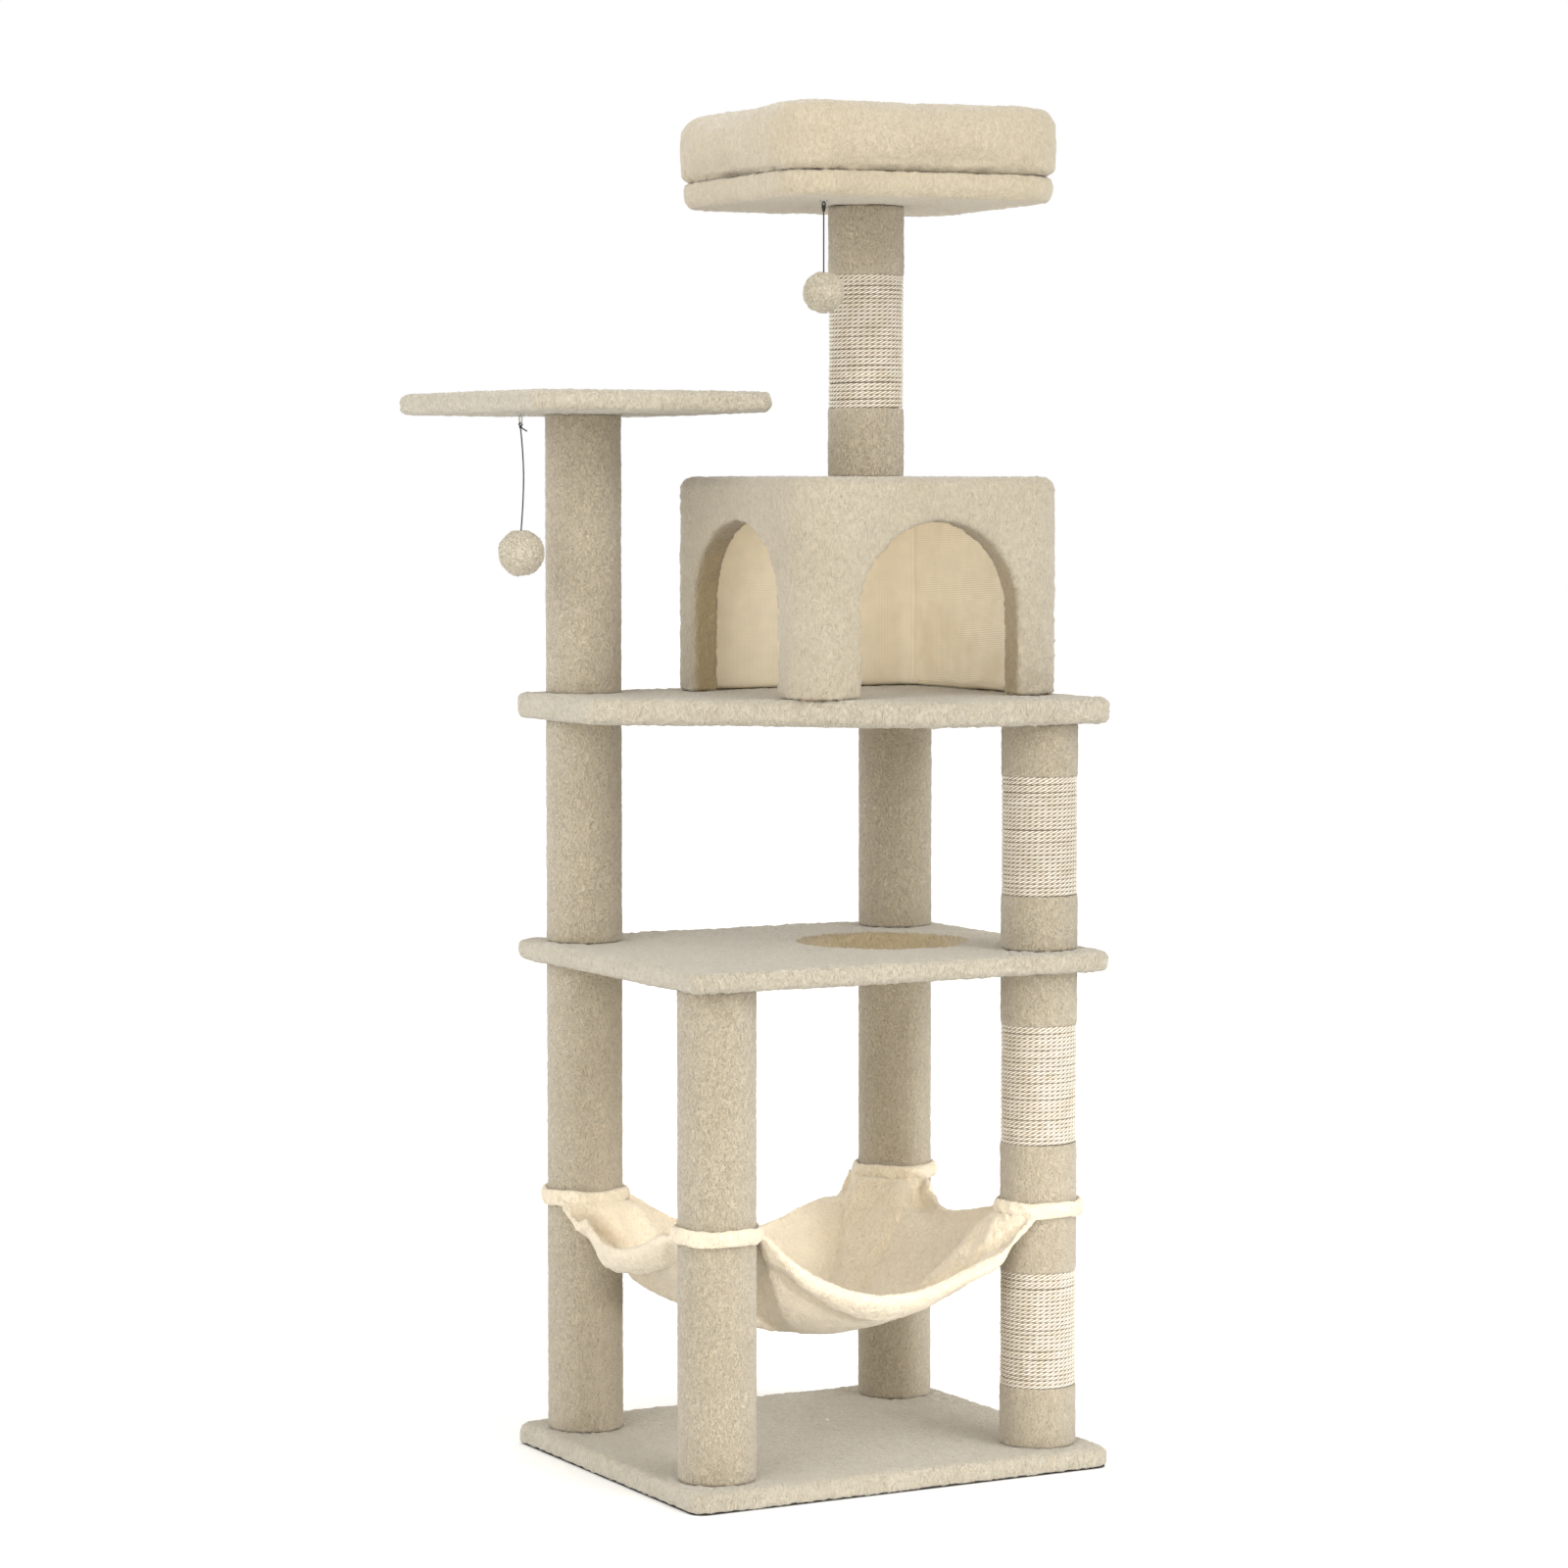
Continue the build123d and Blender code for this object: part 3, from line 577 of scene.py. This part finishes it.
def make_plate(node, corners, low, high, bottom, hole):
    """A board's plush, its pile clumped and its edges soft, with the hole to climb through or without."""
    obj = block(node + "_plush", corners, PLATE_CORNER, low, high, bottom, EDGE_ROUND)
    if hole:
        x, y = CLIMB_HOLE
        lip = [(CLIMB_R + inset, z) for inset, z in edge_profile(low, high, HOLE_ROUND, HOLE_ROUND)]
        near, far = 0.001, CLIMB_R + HOLE_ROUND
        under, over = low - 2 * PAST, high + 2 * PAST
        lip = [(near, under), (far, under)] + lip + [(far, over), (near, over)]
        cut(obj, revolved("climb_cutter", x, y, lip, 96))
    remesh(obj, 0.0029, smooth=2)
    roughen(obj, *SHELF_RELIEF)
    if hole:
        co = points_of(obj)
        # Painted shade: the climbing hole's wall is marked for the plush's darker, warmer tint
        inside = np.hypot(co[:, 0] - x, co[:, 1] - y) < CLIMB_R + 0.7 * HOLE_ROUND
        mark(obj, "hollow", inside.astype(float))
    return obj


def mark(obj, name, values):
    """Gives each point a value that a material reads."""
    obj.data.attributes.new(name, "FLOAT", "POINT").data.foreach_set("value", values)


def dimple(obj, x, y, high):
    """The pile lies in a little over a bolt's head."""
    depth, radius, reach, fade = 0.0030, 0.0065, 0.012, 0.006
    co = points_of(obj)
    far = np.hypot(co[:, 0] - x, co[:, 1] - y)
    near_top = np.clip((co[:, 2] - high + reach) / fade, 0, 1)
    co[:, 2] -= depth * np.exp(-(far / radius) ** 2) * near_top
    move_points(obj, co)


def make_plates(soft):
    """The covers of the base, the two shelves and the perch, each hollow round its board."""
    base = rectangle(0, 0, *BASE_SIZE)
    x, y = BASE_SIZE[0] / 2, BASE_SIZE[1] / 2
    cut_corner = [(-x, SHELF_CUT), (SHELF_CUT, -y), (x, -y), (x, y), (-x, y)]
    perch = rectangle(*COLUMNS["left"], *PERCH_SIZE)
    for node, corners, bottom, hole in (
            ("base_cover", base, UNDER_ROUND, False),
            ("mid_shelf_cover", base, EDGE_ROUND, True),
            ("upper_shelf_cover", cut_corner, EDGE_ROUND, False),
            ("side_perch_cover", perch, EDGE_ROUND, False)):
        low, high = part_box(node)[0].z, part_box(node)[1].z
        obj = make_plate(node, corners, low, high, bottom, hole)
        for column in BOLTED_AT.get(node, []):
            dimple(obj, *COLUMNS[column], high)
        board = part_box(node.replace("_cover", "_board"))
        inner = board_outline(corners)
        bore = (*CLIMB_HOLE, CLIMB_R + HOLE_ROUND) if hole else None
        add_cavity(obj, inner, PLATE_CORNER - BOARD_INSET, board[0].z, board[1].z, bore)
        settle(obj, soft, [node])


def board_outline(corners):
    """A cover's outline, moved in to its board's edge."""
    count = len(corners)
    moved = []
    for i in range(count):
        a, b, c = (Vector(corners[(i + k) % count]) for k in (-1, 0, 1))
        u, v = (b - a).normalized(), (c - b).normalized()
        p = a + Vector((-u.y, u.x)) * BOARD_INSET
        q = b + Vector((-v.y, v.x)) * BOARD_INSET
        moved.append(tuple(p + u * ((q - p).cross(v) / u.cross(v))))
    return moved


def make_underlay(dark_sheet):
    # A thin near-black sheet under the base, just inside its outline; it shows as a dark line along the
    # base's lower edge.
    low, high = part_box("base_underlay")
    obj = block("base_underlay_dark_sheet", rectangle(0, 0, *UNDERLAY_SIZE), UNDERLAY_CORNER, low.z, high.z,
                UNDERLAY_EDGE, UNDERLAY_EDGE)
    settle(obj, dark_sheet, ["base_underlay"])
    obj.data.polygons.foreach_set("use_smooth", [False] * len(obj.data.polygons))


# ---------------------------------------------------------------- columns

def sleeve_mesh(name, x, y, low, high, seam):
    """Plush glued round a tube: soft rounded ends, and a butt seam down the side at the angle seam."""
    segments = round(2 * math.pi * SLEEVE_R / SLEEVE_FACE)
    rows = max(6, round((high - low) / SLEEVE_FACE))
    end, end_length, gap = 0.0009, 0.005, 0.0002
    profile = [(TUBE_R + gap, high - 3 * gap), (TUBE_R + gap, low + 3 * gap)]
    for k in range(rows + 1):
        z = low + SLEEVE_SLACK + (high - low - 2 * SLEEVE_SLACK) * k / rows
        nearest = min(z - low, high - z)
        pull = end * max(0.0, 1 - nearest / end_length) ** 2
        profile.append((SLEEVE_R - SLEEVE_SLACK - pull, z))
    obj = revolved(name, x, y, profile, segments)
    co = points_of(obj)
    angle = np.arctan2(co[:, 1] - y, co[:, 0] - x) - seam
    angle = (angle + np.pi) % (2 * np.pi) - np.pi
    reach = np.hypot(co[:, 0] - x, co[:, 1] - y)
    half_width = 0.0022
    seam_shape = SLEEVE_SEAM * np.exp(-(angle * SLEEVE_R / half_width) ** 2)
    groove = np.where(reach > TUBE_R + 0.002, seam_shape, 0.0)
    shrink = (reach - groove) / reach
    co[:, 0] = x + (co[:, 0] - x) * shrink
    co[:, 1] = y + (co[:, 1] - y) * shrink
    move_points(obj, co)
    return obj


def make_rope(name, x, y, low, high, material, node):
    """Four-strand rope wound tightly round the tube, one turn beside the next, its two end turns level."""
    turns = round((high - low) / (2 * ROPE_R))
    pitch = (high - low) / turns
    section = 12
    core, strand = 0.72, 0.46       # the rope's radius between its strands, and what a strand adds to it
    total = ROPE_STEPS * turns
    centre = ROPE_CREST - ROPE_R
    s = np.arange(total + 1)

    def wander(every, size):
        """Slow random change along the rope."""
        knots = np.arange(0, total + every, every)
        return np.interp(s, knots, RNG.normal(0, size, len(knots)))

    level = low + pitch / 2 + (s / ROPE_STEPS - 0.5) * pitch
    level = np.clip(level, low + pitch / 2, high - pitch / 2) + wander(ROPE_STEPS / 3, 0.00022)
    reach = centre + wander(ROPE_STEPS / 5, 0.00018)
    twist = s * (2 * np.pi * centre / ROPE_STEPS) / ROPE_LAY * 2 * np.pi
    theta = 2 * np.pi * np.arange(section) / section
    crest = (0.5 + 0.5 * np.cos(4 * theta + np.pi / 3)) ** 0.8
    phase = theta[None, :] + twist[:, None]
    radius = ROPE_R * (core + strand * crest[None, :]) * (1 + RNG.normal(0, 0.03, (total + 1, section)))
    r = reach[:, None] + radius * np.cos(phase)
    z = np.clip(level[:, None] + radius * np.sin(phase), low, high)
    a = (s / ROPE_STEPS * 2 * np.pi)[:, None]
    verts = np.stack([x + r * np.cos(a), y + r * np.sin(a), z], -1).reshape(-1, 3)
    i = np.arange(total)[:, None] * section
    k = np.arange(section)[None, :]
    j = (k + 1) % section
    faces = np.stack([i + k, i + j, i + section + j, i + section + k], -1).reshape(-1, 4)
    ends = [list(range(section))[::-1], [total * section + m for m in range(section)]]
    mesh = bpy.data.meshes.new(name)
    mesh.from_pydata(verts.tolist(), [], faces.tolist() + ends)
    obj = to_object(name, mesh)
    # Painted shade: the crest attribute is brown in the grooves between strands and in the gap between two
    # turns; uneven is a real, random tone along the rope.
    painted_gap_shade = np.clip(0.1 + 1.5 * np.cos(phase), 0, 1)       # dark in the gap between two turns
    uneven = 1 + wander(ROPE_STEPS / 2, 0.06)
    mark(obj, "crest", (crest[None, :] * painted_gap_shade * uneven[:, None]).ravel())
    settle(obj, material, [node])


def make_columns(pile, rope):
    """Every stretch of column, from the CAD pieces' own boxes. Their seams face different ways."""
    for index, node in enumerate(sorted(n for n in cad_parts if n.endswith("_sleeve"))):
        x, y = COLUMNS[node.split("_")[0]]
        low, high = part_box(node)[0].z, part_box(node)[1].z
        sleeve = sleeve_mesh(node + "_plush", x, y, low, high, 1.1 + 0.13 * index)
        roughen(sleeve, *SLEEVE_RELIEF)
        settle(sleeve, pile, [node])
    for index, node in enumerate(sorted(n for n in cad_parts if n.endswith("_collars"))):
        x, y = COLUMNS[node.split("_")[0]]
        wound = node.replace("_collars", "_sisal")
        low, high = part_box(node)[0].z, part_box(node)[1].z
        rope_low, rope_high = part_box(wound)[0].z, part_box(wound)[1].z
        seam = 1.2 + 0.2 * index
        lower = sleeve_mesh(node + "_plush", x, y, low, rope_low + COLLAR_LAP, seam)
        upper = sleeve_mesh("upper_collar", x, y, rope_high - COLLAR_LAP, high, seam)
        join(lower, [upper])
        roughen(lower, *SLEEVE_RELIEF)
        settle(lower, pile, [node])
        make_rope(wound + "_rope", x, y, rope_low, rope_high, rope, wound)


# ---------------------------------------------------------------- house

def copy_of(node, name):
    """A CAD node's mesh as a new object, its faces joined up."""
    obj = to_object(name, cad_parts[node].data.copy())
    mesh = bmesh.new()
    mesh.from_mesh(obj.data)
    bmesh.ops.remove_doubles(mesh, verts=mesh.verts, dist=0.00002)
    mesh.to_mesh(obj.data)
    mesh.free()
    return obj


def shade_arches(cover):
    """Marks the reveals inside the two arches for the plush's painted shade, a darker, warmer tint."""
    reveal, margin, lip, fade = 0.036, 0.009, 0.003, 0.004
    co = points_of(cover)
    inner = np.zeros(len(co))
    for through, along in ((1, 0), (0, 1)):
        depth = co[:, through] - HOUSE[through] + HOUSE_SIZE / 2
        near = (np.abs(co[:, along] - HOUSE[along]) < ARCH_R + margin) & (depth < reveal)
        near &= co[:, 2] < ARCH_TOP + 0.006
        inner = np.maximum(inner, near * np.clip((depth - lip) / fade, 0, 1))
    mark(cover, "hollow", inner)


def make_house(soft, lining):
    cover = copy_of("house_cover", "house_plush")
    remesh(cover, 0.0034, smooth=4, factor=0.6)
    roughen(cover, *HOUSE_RELIEF)
    shade_arches(cover)
    settle(cover, soft, ["house_cover"])
    liner = copy_of("house_liner", "house_lining")
    remesh(liner, 0.0042, smooth=14, factor=0.7)
    roughen(liner, *LINING_RELIEF)
    settle(liner, lining, ["house_liner"])


# ---------------------------------------------------------------- bed

def inflate(obj, voxel, pressure, cap):
    """Swells a closed form with the cloth solver, each point held to within cap of its start."""
    remesh(obj, voxel)
    start = points_of(obj)
    mod = obj.modifiers.new("cloth", "CLOTH")
    mod.settings.use_pressure = True
    mod.settings.uniform_pressure_force = pressure
    mod.settings.effector_weights.gravity = 0.0
    mod.settings.quality = 5
    mod.settings.tension_stiffness = 12
    mod.settings.bending_stiffness = 0.4
    scene = bpy.context.scene
    for number in range(1, SIM_FRAMES + 1):
        scene.frame_set(number)
    bake_modifiers(obj)
    scene.frame_set(1)
    move = points_of(obj) - start
    far = np.linalg.norm(move, axis=1, keepdims=True)
    move *= np.minimum(1.0, cap / np.maximum(far, 1e-9))
    move_points(obj, start + move)
    mod = obj.modifiers.new("subdivide", "SUBSURF")
    mod.levels = 1
    mod.render_levels = 1
    bake_modifiers(obj)


def make_bed(soft):
    """The bed's padded base, the stuffed ring on it and the cushion in the ring's hollow."""
    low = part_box("top_bed_base")[0].z
    seam, top = (corner.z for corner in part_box("top_bed_bolster"))
    outline = rectangle(*HOUSE, BED_SIZE, BED_SIZE)

    base = block("top_bed_base_plush", outline, BED_CORNER, low + 0.0005, seam - SEAM_GAP,
                 bottom=0.014, top=0.0035)
    inflate(base, voxel=0.005, pressure=3.0, cap=0.004)
    pin_between(base, low, seam)
    pucker(base, seam, depth=0.0012)
    roughen(base, *BED_BASE_RELIEF)
    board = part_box("top_bed_board")
    board_size = BED_SIZE - 0.0155
    add_cavity(base, rectangle(*HOUSE, board_size, board_size), BED_CORNER - 0.008,
               board[0].z - 0.0002, board[1].z + 0.0002)
    turn_bed(base)
    settle(base, soft, ["top_bed_base"])

    bolster = block("top_bed_bolster_plush", outline, BED_CORNER, seam + SEAM_GAP, top - 0.005,
                    bottom=0.004, top=0.026)
    cut(bolster, block("hollow_cutter", rectangle(*HOUSE, HOLLOW_SIZE, HOLLOW_SIZE), HOLLOW_CORNER,
                       seam - PAST, top + 2 * PAST, SHARP, SHARP))
    inflate(bolster, voxel=0.0055, pressure=4.0, cap=0.006)
    pin_between(bolster, seam, top + 0.006)
    pucker(bolster, seam, depth=0.0018)
    roughen(bolster, *BOLSTER_RELIEF)
    turn_bed(bolster)
    settle(bolster, soft, ["top_bed_bolster"])

    pad = block("top_bed_pad_plush", rectangle(*HOUSE, PAD_SIZE, PAD_SIZE), PAD_CORNER,
                seam + 0.001, seam + 0.011, bottom=0.004, top=0.006)
    inflate(pad, voxel=0.0045, pressure=4.0, cap=0.005)
    pin_between(pad, seam, seam + 0.020)
    roughen(pad, *PAD_RELIEF)
    turn_bed(pad)
    settle(pad, soft, ["top_bed_pad"])


def turn_bed(obj):
    """Turns a piece of the bed about the top column's axis."""
    axis = Matrix.Translation((*HOUSE, 0))
    obj.data.transform(axis @ Matrix.Rotation(math.radians(BED_TURN), 4, "Z") @ axis.inverted())


def pin_between(obj, low, high):
    """Keeps a swollen piece from passing the levels that it is sewn or lies at."""
    co = points_of(obj)
    co[:, 2] = np.clip(co[:, 2], low + 0.0004, high)
    move_points(obj, co)


def pucker(obj, seam, depth):
    """Small pulls in the fabric where it is sewn, fading away from the seam, and its lip into the seam."""
    co = points_of(obj)
    x, y = co[:, 0] - HOUSE[0], co[:, 1] - HOUSE[1]
    angle = np.arctan2(y, x)
    reach = np.hypot(x, y)
    wave = np.sin(angle * 61 + 2.0 * np.sin(angle * 7)) * 0.6 + np.sin(angle * 37 + 1.3) * 0.4
    height = co[:, 2] - seam
    pull = depth * np.exp(-(height / 0.011) ** 2) * (0.5 + 0.5 * wave)
    pull -= SEAM_FILL * np.exp(-(height / 0.0035) ** 2)
    outer = np.maximum(np.abs(x), np.abs(y)) > 0.14
    shrink = np.where(outer, (reach - pull) / np.maximum(reach, 1e-6), 1.0)
    co[:, 0] = HOUSE[0] + x * shrink
    co[:, 1] = HOUSE[1] + y * shrink
    move_points(obj, co)


# ---------------------------------------------------------------- hammock

# Each edge of the sling: its two columns, its sag, where along it the sag is deepest, its inward bow,
# and how far the sling reaches round the rings at its two ends, in degrees
EDGES = (("front", "right", 0.090, 0.52, 0.030, 25, 55), ("right", "back", 0.028, 0.66, 0.020, 35, 15),
         ("back", "left", 0.064, 0.50, 0.028, 35, 35), ("left", "front", 0.042, 0.36, 0.020, 58, 40))
BELLY = 0.150           # height of the sling's lowest point
SLING_Z = RING_Z - 0.002
RIM_PER_EDGE = 80       # points along each free edge of the rim, and
RIM_PER_CORNER = 20     # round each ring
BOWL_ROWS = 56
FOLD_ROWS = 6
HEM_ROWS = 7
HEM = 0.030             # width of the hem turned over along each free edge
HEM_FOLD = 0.0045       # radius of its fold
SLING_THICK = 0.0058
FOLDS = (("front", 0.006), ("right", 0.008), ("back", 0.017), ("left", 0.014))      # a crease's height


def sling_rim():
    """Points round the sling's rim with the hem's share at each: round a ring, then along an edge."""
    reach = 0.0510      # from a column's axis to the sling's edge round its ring
    rim = []

    def on_ring(name, angle):
        x, y = COLUMNS[name]
        return Vector((x + reach * math.cos(math.radians(angle)), y + reach * math.sin(math.radians(angle))))

    for quarter, (start, end, dip, deepest, bow, wrap, far_wrap) in enumerate(EDGES):
        before = EDGES[quarter - 1][6]
        sweep = 90 + before + wrap
        for i in range(RIM_PER_CORNER):
            p = on_ring(start, 90 * (quarter + 1) + before - sweep * i / RIM_PER_CORNER)
            rim.append((p.x, p.y, SLING_Z, 0.0))
        a = on_ring(start, 90 * quarter - wrap)
        b = on_ring(end, 90 * (quarter + 2) + far_wrap)
        along = (b - a).normalized()
        inward = Vector((-along.y, along.x))
        skew = math.log(0.5) / math.log(deepest)
        for i in range(RIM_PER_EDGE):
            t = i / RIM_PER_EDGE
            sag = math.sin(math.pi * t ** skew)
            p = a + (b - a) * t + inward * bow * sag
            hem = min(1.0, 0.15 + 6 * t) * min(1.0, 0.15 + 6 * (1 - t))
            rim.append((p.x, p.y, SLING_Z - dip * sag ** 0.9, hem))
    return np.array(rim)


def make_hammock(soft):
    """A bowl of plush lofted from its belly to its rim, with a hem turned over, and its four rings."""
    rim = sling_rim()
    count = len(rim)
    lengths = np.hypot(rim[:, 0], rim[:, 1])
    out = rim[:, :2] / lengths[:, None]
    levels = [np.column_stack([rim[:, :2] * part, BELLY + (rim[:, 2] - BELLY) * part ** 2.0])
              for part in (np.arange(1, BOWL_ROWS + 1) / BOWL_ROWS) ** 0.85]
    for step in range(1, FOLD_ROWS + 1):
        angle = math.pi * step / FOLD_ROWS
        away = (HEM_FOLD * (1 - math.cos(angle)) * rim[:, 3])[:, None] * out
        lift = HEM_FOLD * math.sin(angle) * rim[:, 3]
        levels.append(np.column_stack([rim[:, :2] + away, rim[:, 2] + lift]))
    for step in range(1, HEM_ROWS + 1):
        drop = HEM * step / HEM_ROWS * rim[:, 3]
        flare = 2 * HEM_FOLD * rim[:, 3] - 0.85 * drop * step / HEM_ROWS
        levels.append(np.column_stack([rim[:, :2] + flare[:, None] * out, rim[:, 2] - drop]))
    verts = np.vstack([[(0.0, 0.0, BELLY)]] + levels)
    verts[:, 2] += sling_folds(verts)
    faces = [(0, 1 + i, 1 + (i + 1) % count) for i in range(count)]
    for k in range(len(levels) - 1):
        a, b = 1 + k * count, 1 + (k + 1) * count
        faces += [(a + i, b + i, b + (i + 1) % count, a + (i + 1) % count) for i in range(count)]
    obj = mesh_object("hammock_sling_plush", verts, faces)
    mod = obj.modifiers.new("thick", "SOLIDIFY")
    mod.thickness = SLING_THICK
    mod.offset = -1.0
    bake_modifiers(obj)
    remesh(obj, 0.0028, smooth=3)
    roughen(obj, *SLING_RELIEF)
    settle(obj, soft, ["hammock_sling"])

    rings = None
    for name in ("left", "front", "back", "right"):
        part = ring_mesh(name + "_ring", *COLUMNS[name])
        rings = join(rings, [part]) if rings else part
    rings.name = "hammock_rings_plush"
    roughen(rings, *RING_RELIEF)
    settle(rings, soft, ["hammock_rings"])


def sling_folds(co):
    """Creases that run out from each ring and die away towards the belly."""
    lift = np.zeros(len(co))
    for index, (name, height) in enumerate(FOLDS):
        x, y = COLUMNS[name]
        dx, dy = co[:, 0] - x, co[:, 1] - y
        far, angle = np.hypot(dx, dy), np.arctan2(dy, dx)
        start = np.clip((far - 0.054) / 0.016, 0, 1)
        fade = np.exp(-np.maximum(far - 0.06, 0) / 0.08)
        lift += height * (fade * start) * np.sin(angle * 8 + 1.5 * np.sin(angle * 2 + index))
    return lift


def ring_mesh(name, x, y):
    """A plush band gathered round a column, fuller at its middle, with slanting creases."""
    half, bulge, crease = 0.0092, 0.0052, 0.0009
    inner, outer_edge = 0.0446, 0.0462
    profile = [(inner, RING_Z + half - 0.002), (inner, RING_Z - half + 0.002)]
    for k in range(13):
        a = math.pi * (k / 12 - 0.5)
        profile.append((outer_edge + bulge * math.cos(a) ** 0.7, RING_Z + half * math.sin(a)))
    obj = revolved(name, x, y, profile, 150)
    co = points_of(obj)
    dx, dy = co[:, 0] - x, co[:, 1] - y
    reach, angle = np.hypot(dx, dy), np.arctan2(dy, dx)
    slant = angle * 11 + 2.5 * np.sin(angle * 3 + x * 40) + (co[:, 2] - RING_Z) * 260
    outer = np.clip((reach - 0.0455) / 0.003, 0, 1)
    grow = (reach + crease * outer * np.sin(slant)) / reach
    co[:, 0], co[:, 1] = x + dx * grow, y + dy * grow
    co[:, 2] += 0.0008 * np.sin(angle * 4 + y * 30) + 0.0003 * np.sin(angle * 11 + x * 50)
    move_points(obj, co)
    return obj


# ---------------------------------------------------------------- toys

def make_string(name, route, material, node, body):
    """A toy's string on one smooth curve from its knot to its ball."""
    data = bpy.data.curves.new(name, "CURVE")
    data.dimensions = "3D"
    spline = data.splines.new("NURBS")
    spline.points.add(len(route) - 1)
    for point, place in zip(spline.points, route):
        point.co = (*place, 1.0)
    spline.order_u = 3
    spline.use_endpoint_u = True
    spline.resolution_u = 24
    data.bevel_depth = STRING_R
    data.bevel_resolution = 4
    data.use_fill_caps = True
    obj = to_object(name, data)
    data.materials.append(material)
    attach(obj, body)
    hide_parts(node)


# A pompom's lumps, tufts and fluff: how fine they are and their height
BALL_RELIEF = ((2.1, 0.0012), (9.0, 0.0012), (24.0, 0.0013))


def make_ball(name, node, body, material, seed):
    """A pompom, drawn in a little where the string goes in."""
    low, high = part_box(node)
    centre = (low + high) / 2
    radius = (high.x - low.x) / 2 - 0.0006
    mesh = bmesh.new()
    bmesh.ops.create_icosphere(mesh, subdivisions=6, radius=radius)
    for vert in mesh.verts:
        way = vert.co.normalized()
        reach = radius
        for axis, (fine, height) in enumerate(BALL_RELIEF):
            shift = Vector((0, 0, 0))
            shift[axis] = seed
            reach += noise.noise(way * fine + shift) * height
        reach -= 0.0016 * math.exp(-((1 - way.z) / 0.02))
        vert.co = centre + way * reach
    data = bpy.data.meshes.new(name)
    mesh.to_mesh(data)
    mesh.free()
    obj = to_object(name, data)
    settle(obj, material, [node], body)


def make_toys(cord_black, fluff):
    """The two toys. Their strings' routes are those of the CAD."""
    side = [(*SIDE_TOY, 1.1891), (-0.3202, 0.0914, 1.158), (-0.3204, 0.0916, 1.108), (*SIDE_TOY, 1.0735)]
    top = [(*TOP_TOY, z) for z in (1.4331, 1.410, 1.387, 1.3645)]
    make_string("side_toy_cord", side, cord_black, "side_toy_string", "side_toy")
    make_string("top_toy_cord", top, cord_black, "top_toy_string", "top_toy")
    make_ball("side_toy_pompom", "side_toy_ball", "side_toy", fluff, 3.1)
    make_ball("top_toy_pompom", "top_toy_ball", "top_toy", fluff, 8.7)


# ---------------------------------------------------------------- kept CAD nodes

def finish_nodes(looks):
    """Gives every carried-over CAD node the first material that one of its words names."""
    for node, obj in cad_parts.items():
        if obj.hide_render:
            continue
        for words, material in looks:
            if any(word in node for word in words):
                obj.data.materials.clear()
                obj.data.materials.append(material)
                break


def main():
    """The camera and the cords come first, then the soft pieces, the kept nodes and the studio."""
    make_camera()
    black = braided("black_cord", (0.02, 0.02, 0.022))
    fluff = plush("ball_fluff", BALL_TONE, dark=0.9, tuft=260.0, sheen=0.4)
    make_toys(black, fluff)
    make_plates(plush("shelf_plush", SHELF_TONE))
    make_underlay(speckled("underlay_dark_sheet", (0.045, 0.042, 0.04), 900.0, rough=0.9, depth=0.0003))
    posts = plush("column_plush", COLUMN_TONE, dark=0.76, bright=1.16, tuft=300.0, pile=560.0,
                  streak=(1, 1, 0.5))
    make_columns(posts, sisal("sisal_rope", SISAL_TONE))
    make_house(plush("house_plush", HOUSE_TONE, dark=0.92, deep=0.0022, grain=0.5),
               woven("house_lining", LINING_TONE))
    make_bed(plush("bed_plush", BED_TONE, dark=0.93, deep=0.0020, grain=0.45))
    make_hammock(plush("hammock_plush", HAMMOCK_TONE, dark=0.95, bright=1.02, grain=0.40))
    finish_nodes([
        (("bolts", "studs", "nuts", "screws", "staples"),
         speckled("zinc_steel", (0.55, 0.56, 0.58), 700.0, rough=0.35, specular=0.5, metal=1.0)),
        (("plugs",), speckled("plug_plastic", (0.03, 0.03, 0.032), 500.0, rough=0.45)),
        (("tubes",), speckled("cardboard", (0.42, 0.31, 0.20), 420.0, stretch=(1, 1, 0.15), rough=0.9)),
        (("knot", "top_toy_loop"), black),
        (("loop",), braided("pale_cord", (0.62, 0.60, 0.56))),
        (("",), speckled("particle_board", (0.50, 0.36, 0.22), 260.0, 0.6, 1.25, rough=0.85)),
    ])
    make_studio()
    make_floor()


main()
